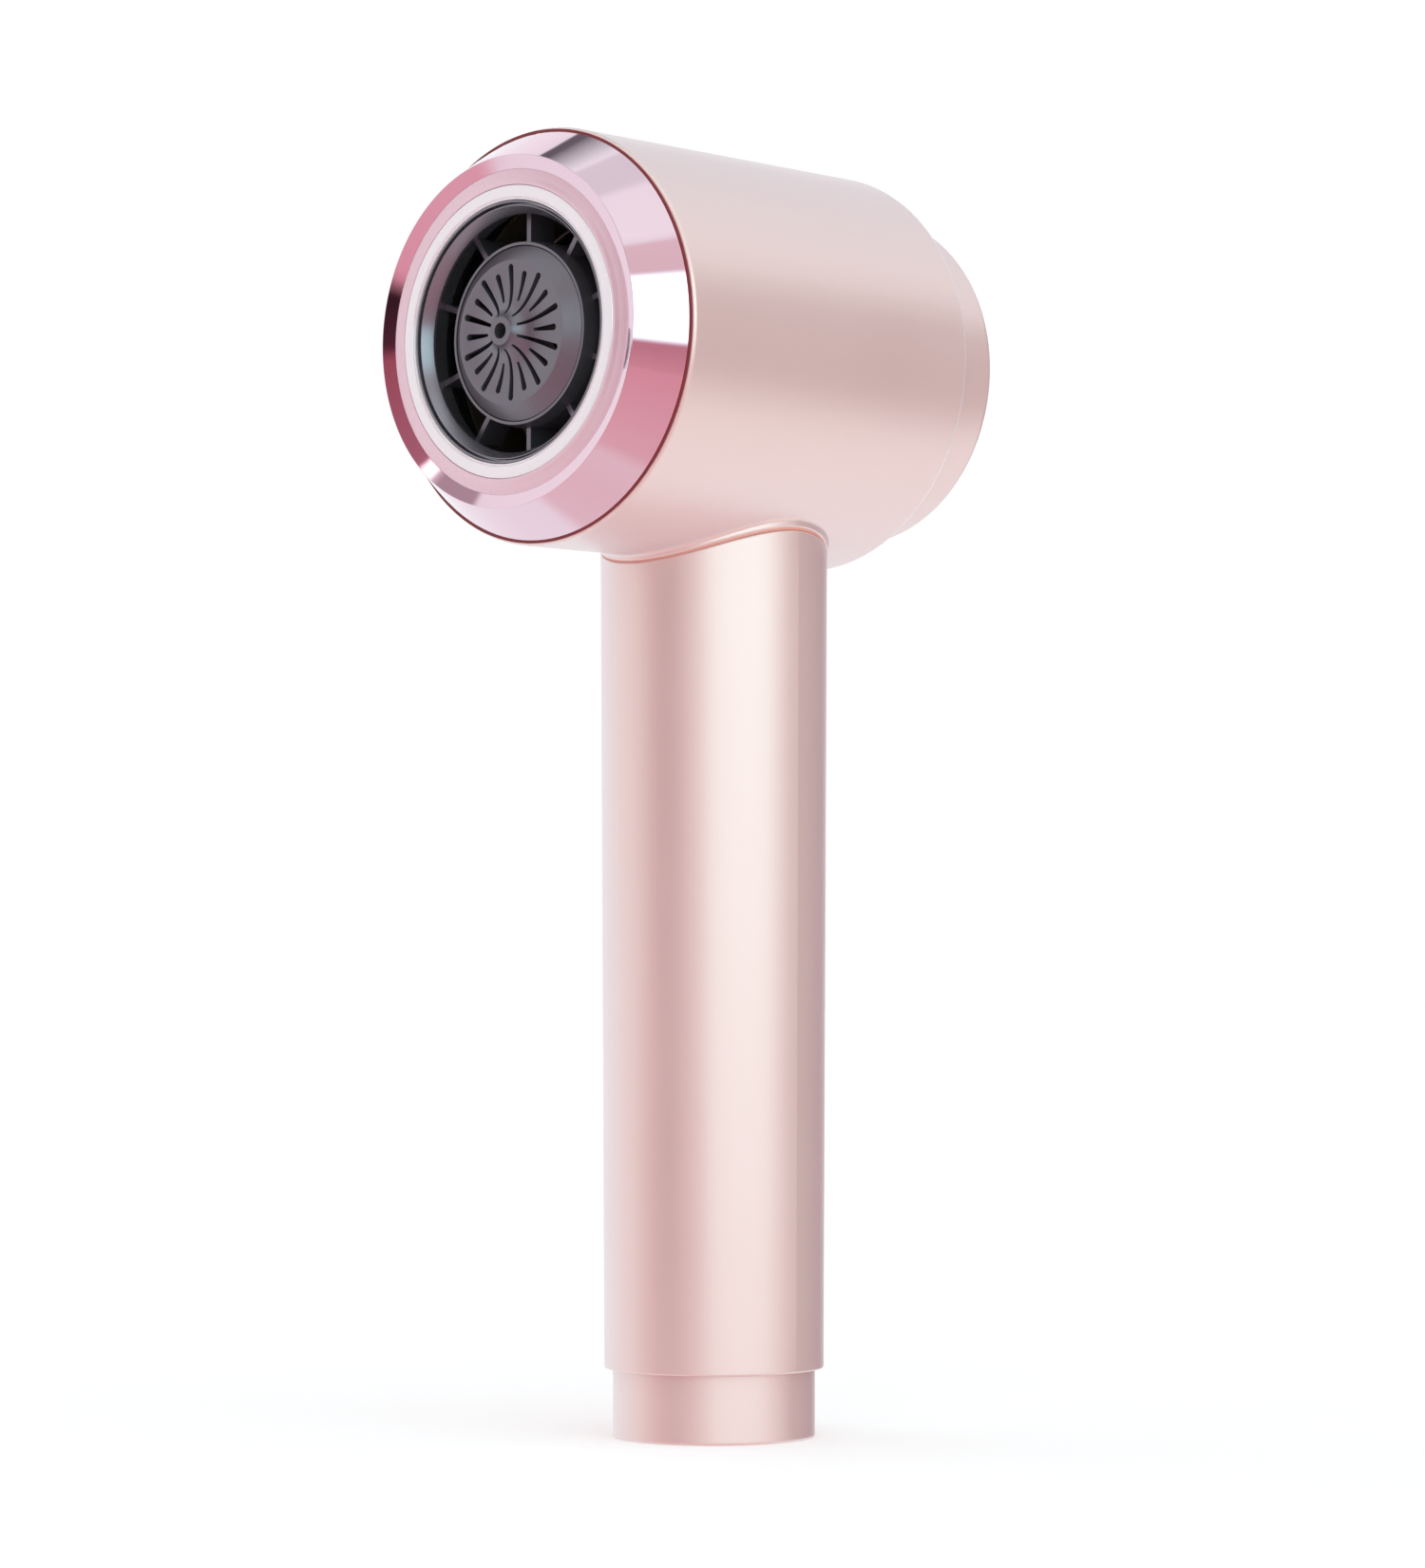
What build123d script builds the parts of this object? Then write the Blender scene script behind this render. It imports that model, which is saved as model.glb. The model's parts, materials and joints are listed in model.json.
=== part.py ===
from build123d import *
import os
from math import cos, radians, sin

os.makedirs("parts", exist_ok=True)

# A travel hair dryer: a short round barrel across the top of a straight round handle.
# The origin is the middle of the flat foot of the handle, +Z runs up the handle,
# and the outlet of the barrel faces -Y. All lengths are in millimetres.

# ------------------------------------------------------------- driving dimensions
HEAD_Z = 195.5              # height of the barrel axis above the foot
BARREL_R = 36.8
BARREL_WALL = 2.2
BARREL_FRONT = -45.0
BARREL_REAR = 28.0
RIM_FILLET = 0.7
BLEND_R = 0.7               # soft corner between collar and barrel
EDGE_R = 0.35               # soft free edges of the collar and the handle
LIP_FILLET = 0.12           # the polished lip is almost sharp

BEVEL_BACK = -45.5          # widest edge of the bevelled front ring
BEVEL_R = 36.0
LIP_Y = -54.0               # foremost edge of the bevelled ring
LIP_R = 30.9
SEAT_Y = -53.05             # sunk face inside the lip
SEAT_R = 28.5

SEAT_RING_Y = -53.6         # face of the ring that an accessory sits on
OUTLET_R = 20.9             # throat of the annular outlet
HUB_R = 16.0
HUB_Y = -50.6
FIN_Y = -48.0
FIN_COUNT = 10
SLOT_PAIRS = 10             # the hub cap has long and short slots in turn

DUCT_R = 28.9               # liner that carries the air through the barrel
DUCT_WALL = 1.2
DUCT_FRONT = -43.5
DUCT_REAR = 30.0

BOARD_HALF = 23.0           # half width of the two crossed heater boards
BOARD_T = 0.8
COIL_R = 22.9
COIL_START = -33.0
COIL_PITCH = 4.0
COIL_TURNS = 7
COIL_WIRE_R = 0.45

SHAFT_R = 1.5
BEARING_BORE_R = 1.54
BEARING_R = 4.05
MOTOR_CUP_R = 13.0
SHROUD_R = 26.2
BLADE_COUNT = 9

CAP_R = 30.85               # rear filter cap
CAP_REAR = 42.8
CAP_FRONT = 20.5
CAP_WALL = 1.6

HANDLE_TOP_R = 20.7
HANDLE_FOOT_R = 19.9
HANDLE_WALL = 1.9
FOOT_R = 18.3               # stepped-in lower cap
FOOT_H = 12.4
SEAM_R = 37.9               # where collar and handle meet, measured from the barrel axis
SEAM_GAP = 0.3
COLLAR_R = 20.8
SPIGOT_R = 18.5             # neck tube that plugs into the handle
SPIGOT_BORE_R = 16.3
SPIGOT_END = 146.0

CORD_BORE_R = 3.6
GLAND_R = 6.1
GLAND_H = 16.0

CONTROLS_Y = 9.8            # front face of the control circuit board
PANEL_Z = 107.0
PANEL_W = 16.0
PANEL_H = 64.0
PANEL_R = 19.9
SLIDE_Z = 122.0
SLIDE_TRAVEL = 8.0
HEAT_Z = 102.0
COOL_Z = 87.0
BUTTON_R = 4.6

FIT = 0.1                   # ordinary clearance between pieces that sit together

# ------------------------------------------------------------------ places and axes
HEAD_AXIS = Axis((0, 0, HEAD_Z), (0, 1, 0))
# Half section through the barrel: first coordinate along +Y, second the radius.
HEAD_SECTION = Plane(origin=(0, 0, HEAD_Z), x_dir=(0, 1, 0), z_dir=(1, 0, 0))


def across(y):
    """A plane square to the barrel axis at y, facing the rear, with Z upwards."""
    return Plane(origin=(0, y, HEAD_Z), x_dir=(-1, 0, 0), z_dir=(0, 1, 0))


def handle_wall_at(y, z=0.0):
    """A plane square to Y inside the handle, facing the controls, with Z upwards."""
    return Plane(origin=(0, y, z), x_dir=(-1, 0, 0), z_dir=(0, 1, 0))


def radial(r, y, angle):
    """A plane facing outwards from the barrel axis, its first direction along +Y."""
    out = (cos(radians(angle)), 0, sin(radians(angle)))
    return Plane(
        origin=(r * out[0], y, HEAD_Z + r * out[2]), x_dir=(0, 1, 0), z_dir=out
    )


def lowest(edge):
    """Height of an edge's lowest point."""
    return edge.bounding_box().min.Z


def save(builder, label):
    """Label a finished piece and write it."""
    builder.part.label = label
    export_step(builder.part, f"parts/{label}.step")


# =============================================================== barrel and its neck
SHOULDER_BORE_R = CAP_R + 0.35
NECK_BOSS_X = 13.6
NECK_BOSS_R = 3.0
SCREW_SHANK_R = 1.2

with BuildPart() as barrel_shell:
    # Collar: a stub of the handle's size that ends on a cylinder about the barrel axis.
    with BuildSketch(Plane.XY.offset(HEAD_Z - 2 * HANDLE_TOP_R)):
        Circle(COLLAR_R)
    extrude(amount=2 * HANDLE_TOP_R)
    with BuildSketch(across(-BARREL_R)):
        Circle(SEAM_R)
    extrude(amount=2 * BARREL_R, mode=Mode.INTERSECT)
    # Barrel, still solid.
    with BuildSketch(HEAD_SECTION):
        Polygon(
            (BARREL_FRONT, 0),
            (BARREL_REAR, 0),
            (BARREL_REAR, BARREL_R),
            (BARREL_FRONT, BARREL_R),
        )
    revolve(axis=HEAD_AXIS)
    rims = barrel_shell.edges().filter_by(GeomType.CIRCLE).filter_by(
        lambda edge: abs(edge.radius - BARREL_R) < 0.01
    )
    fillet(rims, RIM_FILLET)
    collar_root = sorted(barrel_shell.edges().filter_by(GeomType.BSPLINE), key=lowest)[-1]
    fillet(collar_root, BLEND_R)
    collar_rim = sorted(barrel_shell.edges().filter_by(GeomType.BSPLINE), key=lowest)[0]
    fillet(collar_rim, EDGE_R)
    # Neck tube with two bosses for screws.
    with BuildSketch(Plane.XY.offset(SPIGOT_END)):
        Circle(SPIGOT_R)
    extrude(amount=HEAD_Z - BARREL_R - SPIGOT_END + 10)
    with BuildSketch(Plane.XY.offset(SPIGOT_END - 1)):
        Circle(SPIGOT_BORE_R)
        with Locations((-NECK_BOSS_X, 0), (NECK_BOSS_X, 0)):
            Circle(NECK_BOSS_R, mode=Mode.SUBTRACT)
    extrude(amount=HEAD_Z - SPIGOT_END, mode=Mode.SUBTRACT)
    # Hollow of the barrel, with a shoulder left at the rear.
    with BuildSketch(HEAD_SECTION):
        Polygon(
            (BARREL_FRONT - 1, 0),
            (BARREL_REAR + 1, 0),
            (BARREL_REAR + 1, SHOULDER_BORE_R),
            (BARREL_REAR - BARREL_WALL, SHOULDER_BORE_R),
            (BARREL_REAR - BARREL_WALL, BARREL_R - BARREL_WALL),
            (BARREL_FRONT - 1, BARREL_R - BARREL_WALL),
        )
    revolve(axis=HEAD_AXIS, mode=Mode.SUBTRACT)
    with Locations(
        Plane.XY.offset(SPIGOT_END) * Pos(-NECK_BOSS_X, 0, 0),
        Plane.XY.offset(SPIGOT_END) * Pos(NECK_BOSS_X, 0, 0),
    ):
        Cylinder(
            SCREW_SHANK_R + 0.05,
            12,
            align=(Align.CENTER, Align.CENTER, Align.MIN),
            mode=Mode.SUBTRACT,
        )
save(barrel_shell, "barrel_shell")

# ==================================================================== front of the barrel
RECESS_R = 31.6
BEVEL_SPIGOT_R = BARREL_R - BARREL_WALL - FIT
BEVEL_SPIGOT_WALL = 1.6
BEVEL_END = -38.0
LIP_BACK = -50.8            # rear of the lip that the carrier sits behind
RECESS_END = -46.0
SEAL_DEPTH = 0.4            # how far the dark seal sits below the shells

with BuildPart() as bevel_ring:
    with BuildSketch(HEAD_SECTION):
        Polygon(
            (BEVEL_BACK, BEVEL_R),
            (LIP_Y, LIP_R),
            (SEAT_Y, SEAT_R),
            (LIP_BACK, SEAT_R),
            (LIP_BACK, RECESS_R),
            (RECESS_END, RECESS_R),
            (RECESS_END, BEVEL_SPIGOT_R - BEVEL_SPIGOT_WALL),
            (BEVEL_END, BEVEL_SPIGOT_R - BEVEL_SPIGOT_WALL),
            (BEVEL_END, BEVEL_SPIGOT_R),
            (BEVEL_BACK, BEVEL_SPIGOT_R),
        )
    revolve(axis=HEAD_AXIS)
    fillet(bevel_ring.edges().sort_by(Axis.Y)[0], LIP_FILLET)
save(bevel_ring, "bevel_ring")

with BuildPart() as front_seal:
    with BuildSketch(HEAD_SECTION):
        Polygon(
            (BEVEL_BACK, BEVEL_SPIGOT_R + 0.2),
            (BARREL_FRONT, BEVEL_SPIGOT_R + 0.2),
            (BARREL_FRONT, BEVEL_R - SEAL_DEPTH),
            (BEVEL_BACK, BEVEL_R - SEAL_DEPTH),
        )
    revolve(axis=HEAD_AXIS)
save(front_seal, "front_seal")

CARRIER_FACE_R = 26.6
CARRIER_BORE_R = 23.0
CARRIER_BACK = -47.9
CARRIER_FLOOR = -49.4
NOZZLE_SCREW_R = 29.9
NOZZLE_SCREW_SHANK = 1.0
NOZZLE_SCREW_HEAD = 1.6

with BuildPart() as nozzle_carrier:
    with BuildSketch(HEAD_SECTION):
        Polygon(
            (SEAT_Y + 0.05, CARRIER_FACE_R),
            (SEAT_Y + 0.05, SEAT_R - 0.15),
            (CARRIER_FLOOR, SEAT_R - 0.15),
            (CARRIER_FLOOR, RECESS_R - FIT),
            (CARRIER_BACK, RECESS_R - FIT),
            (CARRIER_BACK, CARRIER_BORE_R),
            (CARRIER_FLOOR, CARRIER_BORE_R),
            (CARRIER_FLOOR, CARRIER_FACE_R),
        )
    revolve(axis=HEAD_AXIS)
    with BuildSketch(across(CARRIER_FLOOR - 0.5)):
        with PolarLocations(NOZZLE_SCREW_R, 4, start_angle=45):
            Circle(NOZZLE_SCREW_SHANK + 0.05)
    extrude(amount=3, mode=Mode.SUBTRACT)
save(nozzle_carrier, "nozzle_carrier")

SEAT_RING_FACE = (23.3, CARRIER_FACE_R - 1.1)
SEAT_RING_BACK = -51.2

with BuildPart() as seat_ring:
    with BuildSketch(HEAD_SECTION):
        Polygon(
            (SEAT_Y + 0.05, CARRIER_FACE_R - FIT),
            (SEAT_RING_Y, SEAT_RING_FACE[1]),
            (SEAT_RING_Y, SEAT_RING_FACE[0]),
            (SEAT_Y, CARRIER_BORE_R - 0.05),
            (SEAT_RING_BACK, CARRIER_BORE_R - 0.05),
            (SEAT_RING_BACK, CARRIER_FACE_R - FIT),
        )
    revolve(axis=HEAD_AXIS)
save(seat_ring, "seat_ring")

with BuildPart() as ring_magnet:
    with BuildSketch(across(SEAT_RING_BACK + 0.05)):
        Circle(CARRIER_FACE_R - 0.2)
        Circle(CARRIER_BORE_R + 0.1, mode=Mode.SUBTRACT)
    extrude(amount=1.7)
save(ring_magnet, "ring_magnet")

FUNNEL_FLANGE_BACK = -45.8
FUNNEL_LIP = (-52.9, 22.1)  # thin front lip, with a dark groove around it
FUNNEL_FRONT_R = 22.35
GROOVE_FLOOR = -51.6
THROAT_Y = -50.9            # the narrowest place, a thin edge
THROAT_EDGE = 0.6           # length of that edge
THROAT_STEP = 0.5           # length of the step behind it, where the wall goes outwards
THROAT_BACK_R = 22.2
THROAT_END = -46.5
FUNNEL_END = -41.0
FUNNEL_END_R = 26.4
FUNNEL_NECK_R = 24.0

with BuildPart() as outlet_funnel:
    with BuildSketch(HEAD_SECTION):
        Polygon(
            (GROOVE_FLOOR, CARRIER_BORE_R - 0.1),
            (GROOVE_FLOOR, FUNNEL_FRONT_R),
            (FUNNEL_LIP[0], FUNNEL_FRONT_R),
            FUNNEL_LIP,
            (THROAT_Y, OUTLET_R),
            (THROAT_Y + THROAT_EDGE, OUTLET_R),
            (THROAT_Y + THROAT_EDGE + THROAT_STEP, THROAT_BACK_R),
            (THROAT_END, THROAT_BACK_R),
            (FUNNEL_END, FUNNEL_END_R),
            (FUNNEL_END, DUCT_R - DUCT_WALL - FIT),
            (DUCT_FRONT + 0.1, DUCT_R - DUCT_WALL - FIT),
            (FUNNEL_FLANGE_BACK, FUNNEL_NECK_R),
            (FUNNEL_FLANGE_BACK, RECESS_R - 0.2),
            (CARRIER_BACK + 0.05, RECESS_R - 0.2),
            (CARRIER_BACK + 0.05, CARRIER_BORE_R - 0.1),
        )
    revolve(axis=HEAD_AXIS)
    with BuildSketch(across(CARRIER_BACK - 0.5)):
        with PolarLocations(NOZZLE_SCREW_R, 4, start_angle=45):
            Circle(NOZZLE_SCREW_SHANK + 0.1)
    extrude(amount=3, mode=Mode.SUBTRACT)
save(outlet_funnel, "outlet_funnel")

with BuildPart() as nozzle_screws:
    with BuildSketch(across(CARRIER_FLOOR + 0.1)):
        with PolarLocations(NOZZLE_SCREW_R, 4, start_angle=45):
            Circle(NOZZLE_SCREW_SHANK)
    extrude(amount=FUNNEL_FLANGE_BACK - CARRIER_FLOOR - 0.1)
    with BuildSketch(across(FUNNEL_FLANGE_BACK)):
        with PolarLocations(NOZZLE_SCREW_R, 4, start_angle=45):
            Circle(NOZZLE_SCREW_HEAD)
    extrude(amount=1.1)
save(nozzle_screws, "nozzle_screws")

HUB_BORE_R = HUB_R - 0.5
LEDGE_Y = -48.9
FIN_T = 1.0
FIN_INNER_R = HUB_R - 0.05
FIN_OUTER_R = THROAT_BACK_R - 0.05
FIN_END = -42.2
HUB_FLARE = (-47.8, 16.4)   # the hub widens a little behind its lip
HUB_WAIST = -42.0           # behind this the hub narrows into the air stream
HUB_END = -38.5
HUB_END_R = 12.6
HUB_WALL = 1.5
HUB_INNER_R = 14.3
NEEDLE_HOLE_R = 2.0

with BuildPart() as outlet_hub:
    with BuildSketch(HEAD_SECTION):
        Polygon(
            (HUB_Y, HUB_BORE_R),
            (HUB_Y, HUB_R),
            HUB_FLARE,
            (HUB_WAIST, HUB_FLARE[1]),
            (HUB_END, HUB_END_R),
            (HUB_END, NEEDLE_HOLE_R),
            (HUB_END - HUB_WALL, NEEDLE_HOLE_R),
            (HUB_END - HUB_WALL, HUB_END_R - 0.7),
            (HUB_WAIST - 0.6, HUB_INNER_R),
            (LEDGE_Y, HUB_INNER_R),
            (LEDGE_Y, HUB_BORE_R),
        )
    revolve(axis=HEAD_AXIS)
    with BuildSketch(across(FIN_Y)):
        with PolarLocations((FIN_INNER_R + FIN_OUTER_R) / 2, FIN_COUNT, start_angle=18):
            Rectangle(FIN_OUTER_R - FIN_INNER_R, FIN_T)
    extrude(amount=FIN_END - FIN_Y)
save(outlet_hub, "outlet_hub")

CAP_RIM_R = HUB_BORE_R - 0.2
CAP_EDGE = (-52.5, 12.7)
BOSS_TIP = (-55.1, 2.5)
BOSS_BORE_R = 1.4
# The face dips behind its edge, then flares forward into the boss like a trumpet.
TRUMPET = [CAP_EDGE, (-52.28, 9.0), (-52.35, 6.4), (-52.95, 4.3), (-54.1, 3.0), BOSS_TIP]
LONG_SLOT = (3.1, 11.4)
SHORT_SLOT = (5.6, 10.4)
SLOT_HALF = (0.24, 0.58)    # half width at the inner and at the outer end

with BuildPart() as emitter_cap:
    with BuildSketch(HEAD_SECTION):
        with BuildLine():
            Polyline((LEDGE_Y, CAP_RIM_R), (HUB_Y + 0.1, CAP_RIM_R), CAP_EDGE)
            Spline(*TRUMPET)
            Polyline(BOSS_TIP, (BOSS_TIP[0], BOSS_BORE_R), (LEDGE_Y, BOSS_BORE_R))
            Polyline((LEDGE_Y, BOSS_BORE_R), (LEDGE_Y, 2.5), (-51.4, 2.7))
            back = ThreePointArc((-51.4, 2.7), (-51.2, 6.6), (-51.3, 12.2))
            Polyline(back @ 1, (-49.6, 14.4), (LEDGE_Y, 14.4), (LEDGE_Y, CAP_RIM_R))
        make_face()
    revolve(axis=HEAD_AXIS)
    with BuildSketch(across(-56.0)):
        for (inner, outer), start in ((LONG_SLOT, 90), (SHORT_SLOT, 108)):
            with PolarLocations(0, SLOT_PAIRS, start_angle=start):
                Polygon(
                    (inner, -SLOT_HALF[0]),
                    (outer, -SLOT_HALF[1]),
                    (outer, SLOT_HALF[1]),
                    (inner, SLOT_HALF[0]),
                )
            with PolarLocations(outer, SLOT_PAIRS, start_angle=start):
                Circle(SLOT_HALF[1])
    extrude(amount=6, mode=Mode.SUBTRACT)
save(emitter_cap, "emitter_cap")

NEEDLE_TIP = -53.9
NEEDLE_END = -36.9
NEEDLE_R = 0.35

with BuildPart() as emitter_needle:
    with BuildSketch(HEAD_SECTION):
        Polygon(
            (NEEDLE_TIP, 0), (NEEDLE_TIP + 1.9, NEEDLE_R), (NEEDLE_END, NEEDLE_R), (NEEDLE_END, 0)
        )
    revolve(axis=HEAD_AXIS)
save(emitter_needle, "emitter_needle")

# ==================================================================== duct and heater
FLANGE_R = BARREL_R - BARREL_WALL - 0.15

with BuildPart() as air_duct:
    with BuildSketch(HEAD_SECTION):
        Polygon(
            (DUCT_FRONT, DUCT_R - DUCT_WALL),
            (DUCT_FRONT, DUCT_R),
            (DUCT_REAR, DUCT_R),
            (DUCT_REAR, DUCT_R - DUCT_WALL),
        )
        with Locations((-30.0, DUCT_R - 0.2), (17.2, DUCT_R - 0.2)):
            Rectangle(1.6, FLANGE_R - DUCT_R + 0.2, align=(Align.CENTER, Align.MIN))
    revolve(axis=HEAD_AXIS)
save(air_duct, "air_duct")

SLEEVE_R = DUCT_R - DUCT_WALL - 0.2

with BuildPart() as heater_sleeve:
    with BuildSketch(across(-37.5)):
        Circle(SLEEVE_R)
        Circle(SLEEVE_R - 0.6, mode=Mode.SUBTRACT)
    extrude(amount=36)
save(heater_sleeve, "heater_sleeve")

BOARD_FRONT = -36.5
BOARD_REAR = -2.5
BOARD_MID = (BOARD_FRONT + BOARD_REAR) / 2
NOTCH = 1.3


def board_outline(first_side, second_side, slot_from):
    """Heater board in (along Y, across) terms: notched edges, end tabs, half-lap slot."""
    with Locations((BOARD_MID, 0)):
        Rectangle(BOARD_REAR - BOARD_FRONT, 2 * BOARD_HALF)
    with Locations((BOARD_FRONT + 0.9, 0), (BOARD_REAR - 0.9, 0)):
        Rectangle(1.8, 2 * (SLEEVE_R - 0.7))
    for side, quarter in ((1, first_side), (-1, second_side)):
        for turn in range(COIL_TURNS + 1):
            y = COIL_START + COIL_PITCH * (turn + quarter / 4)
            with Locations((y, side * BOARD_HALF)):
                Rectangle(NOTCH, 1.8, mode=Mode.SUBTRACT)
    with Locations((slot_from, 0)):
        Rectangle(
            BOARD_MID - BOARD_FRONT + 0.1,
            BOARD_T + 0.1,
            align=(Align.MIN, Align.CENTER),
            mode=Mode.SUBTRACT,
        )


with BuildPart() as mica_board_upright:
    with BuildSketch(HEAD_SECTION):
        board_outline(0, 2, BOARD_FRONT - 0.05)
    extrude(amount=BOARD_T / 2, both=True)
save(mica_board_upright, "mica_board_upright")

with BuildPart() as mica_board_flat:
    with BuildSketch(Plane(origin=(0, 0, HEAD_Z), x_dir=(0, 1, 0), z_dir=(0, 0, 1))):
        board_outline(3, 1, BOARD_MID - 0.05)
    extrude(amount=BOARD_T / 2, both=True)
save(mica_board_flat, "mica_board_flat")

with BuildPart() as heater_coil:
    with BuildLine() as coil_line:
        Helix(
            pitch=COIL_PITCH,
            height=COIL_PITCH * COIL_TURNS,
            radius=COIL_R,
            center=(0, COIL_START, HEAD_Z),
            direction=(0, 1, 0),
        )
    coil_path = coil_line.line
    with BuildSketch(Plane(origin=coil_path @ 0, z_dir=coil_path % 0)):
        Circle(COIL_WIRE_R)
    sweep(path=coil_path, is_frenet=True)
save(heater_coil, "heater_coil")

with BuildPart() as thermostat:
    with BuildSketch(Plane.XY.offset(HEAD_Z + BOARD_T / 2 + 0.05)):
        with Locations((-11, -14)):
            RectangleRounded(10, 7, 0.8)
    extrude(amount=2.6)
    with BuildSketch(Plane.XY.offset(HEAD_Z + BOARD_T / 2 + 2.65)):
        with Locations((-11, -14)):
            Circle(3.2)
    extrude(amount=1.2)
save(thermostat, "thermostat")

with BuildPart() as thermal_fuse:
    fuse_x, fuse_z = 11.0, HEAD_Z + 2.2
    for fuse_y, fuse_len, fuse_r in ((-26, 20, 0.35), (-21, 10, 1.4)):
        with BuildSketch(handle_wall_at(fuse_y, fuse_z)):
            with Locations((-fuse_x, 0)):
                Circle(fuse_r)
        extrude(amount=fuse_len)
save(thermal_fuse, "thermal_fuse")

# ====================================================================== motor and fan
CUP_FRONT = 3.0
CUP_REAR = 17.5
SHROUD_REAR = 29.2
VANE_COUNT = 7

with BuildPart() as motor_housing:
    with BuildSketch(HEAD_SECTION):
        Polygon(
            (2.0, SHROUD_R - 1.2),
            (SHROUD_REAR, SHROUD_R - 1.2),
            (SHROUD_REAR, SHROUD_R),
            (2.0, SHROUD_R),
        )
        Polygon(
            (CUP_FRONT, BEARING_R + 0.05),
            (CUP_FRONT, MOTOR_CUP_R),
            (CUP_REAR, MOTOR_CUP_R),
            (CUP_REAR, MOTOR_CUP_R - 1.1),
            (CUP_FRONT + 1.4, MOTOR_CUP_R - 1.1),
            (CUP_FRONT + 1.4, BEARING_R + 1.5),
            (CUP_FRONT + 3.2, BEARING_R + 1.5),
            (CUP_FRONT + 3.2, BEARING_R + 0.05),
        )
    revolve(axis=HEAD_AXIS)
    with BuildSketch(across(5.0)):
        with PolarLocations((MOTOR_CUP_R + SHROUD_R - 1.2) / 2, VANE_COUNT, start_angle=90):
            Rectangle(SHROUD_R - 1.2 - MOTOR_CUP_R + 0.4, 1.2)
    extrude(amount=10)
    # Posts that hold the driver board off the front of the cup.
    with BuildSketch(across(1.45)):
        with PolarLocations(11.0, 3, start_angle=90):
            Circle(1.1)
    extrude(amount=CUP_FRONT - 1.45 + 0.2)
save(motor_housing, "motor_housing")

with BuildPart() as motor_dampers:
    for damper_y in (5.0, 22.0):
        with BuildSketch(across(damper_y)):
            Circle(DUCT_R - DUCT_WALL - 0.05)
            Circle(SHROUD_R + 0.05, mode=Mode.SUBTRACT)
        extrude(amount=4)
save(motor_dampers, "motor_dampers")

STATOR_FRONT = 7.0
STATOR_LEN = 8.5
TOOTH_COUNT = 6
TOOTH_W = 2.4
TOOTH_INNER_R = 5.7

with BuildPart() as motor_stator:
    with BuildSketch(across(STATOR_FRONT)):
        Circle(MOTOR_CUP_R - 1.2)
        Circle(9.6, mode=Mode.SUBTRACT)
        with PolarLocations((TOOTH_INNER_R + 9.8) / 2, TOOTH_COUNT):
            Rectangle(9.8 - TOOTH_INNER_R, TOOTH_W)
    extrude(amount=STATOR_LEN)
save(motor_stator, "motor_stator")

with BuildPart() as stator_windings:
    for winding in range(TOOTH_COUNT):
        place = radial(6.7, STATOR_FRONT + STATOR_LEN / 2, 360 * winding / TOOTH_COUNT)
        with BuildSketch(place):
            RectangleRounded(STATOR_LEN + 0.8, TOOTH_W + 1.6, 0.6)
            Rectangle(STATOR_LEN + 0.1, TOOTH_W + 0.1, mode=Mode.SUBTRACT)
        extrude(amount=2.6)
save(stator_windings, "stator_windings")

with BuildPart() as motor_end_plate:
    with BuildSketch(HEAD_SECTION):
        Polygon(
            (16.4, BEARING_R + 0.05),
            (16.4, BEARING_R + 1.5),
            (CUP_REAR + 0.05, BEARING_R + 1.5),
            (CUP_REAR + 0.05, MOTOR_CUP_R),
            (19.0, MOTOR_CUP_R),
            (19.0, BEARING_R + 0.05),
        )
    revolve(axis=HEAD_AXIS)
save(motor_end_plate, "motor_end_plate")


def bearing_section(front):
    """A ball bearing's half section, with a groove in each end face."""
    Polygon(
        (front, BEARING_BORE_R),
        (front + 2.6, BEARING_BORE_R),
        (front + 2.6, BEARING_R),
        (front, BEARING_R),
    )
    with Locations((front, 2.8), (front + 2.6, 2.8)):
        Rectangle(0.5, 1.0, mode=Mode.SUBTRACT)


with BuildPart() as front_bearing:
    with BuildSketch(HEAD_SECTION):
        bearing_section(CUP_FRONT + 0.3)
    revolve(axis=HEAD_AXIS)
save(front_bearing, "front_bearing")

with BuildPart() as rear_bearing:
    with BuildSketch(HEAD_SECTION):
        bearing_section(16.4)
    revolve(axis=HEAD_AXIS)
save(rear_bearing, "rear_bearing")

with BuildPart() as rotor_magnet:
    with BuildSketch(across(STATOR_FRONT)):
        Circle(TOOTH_INNER_R - 0.6)
        Circle(SHAFT_R + 0.02, mode=Mode.SUBTRACT)
    extrude(amount=STATOR_LEN)
save(rotor_magnet, "rotor_magnet")

with BuildPart() as motor_shaft:
    with BuildSketch(across(1.8)):
        Circle(SHAFT_R)
    extrude(amount=28.4)
    chamfer(motor_shaft.edges().filter_by(GeomType.CIRCLE), 0.2)
save(motor_shaft, "motor_shaft")

IMPELLER_FRONT = 19.6
IMPELLER_REAR = 28.6
BLADE_TIP_R = 24.2

with BuildPart() as impeller:
    with BuildSketch(HEAD_SECTION):
        with BuildLine():
            Polyline(
                (IMPELLER_REAR, 4.6),
                (IMPELLER_REAR, SHAFT_R + 0.02),
                (IMPELLER_FRONT, SHAFT_R + 0.02),
                (IMPELLER_FRONT, 13.0),
                (IMPELLER_FRONT + 1.6, 13.0),
            )
            ThreePointArc((IMPELLER_FRONT + 1.6, 13.0), (25.6, 9.6), (IMPELLER_REAR, 4.6))
        make_face()
    revolve(axis=HEAD_AXIS)
    for blade in range(BLADE_COUNT):
        turn = 360 * blade / BLADE_COUNT
        with BuildSketch(radial(5.5, 24.2, turn)):
            Rectangle(8.4, 1.2, rotation=38)
        with BuildSketch(radial(BLADE_TIP_R, 24.2, turn)):
            Rectangle(7.6, 0.8, rotation=58)
        loft()
save(impeller, "impeller")

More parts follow.
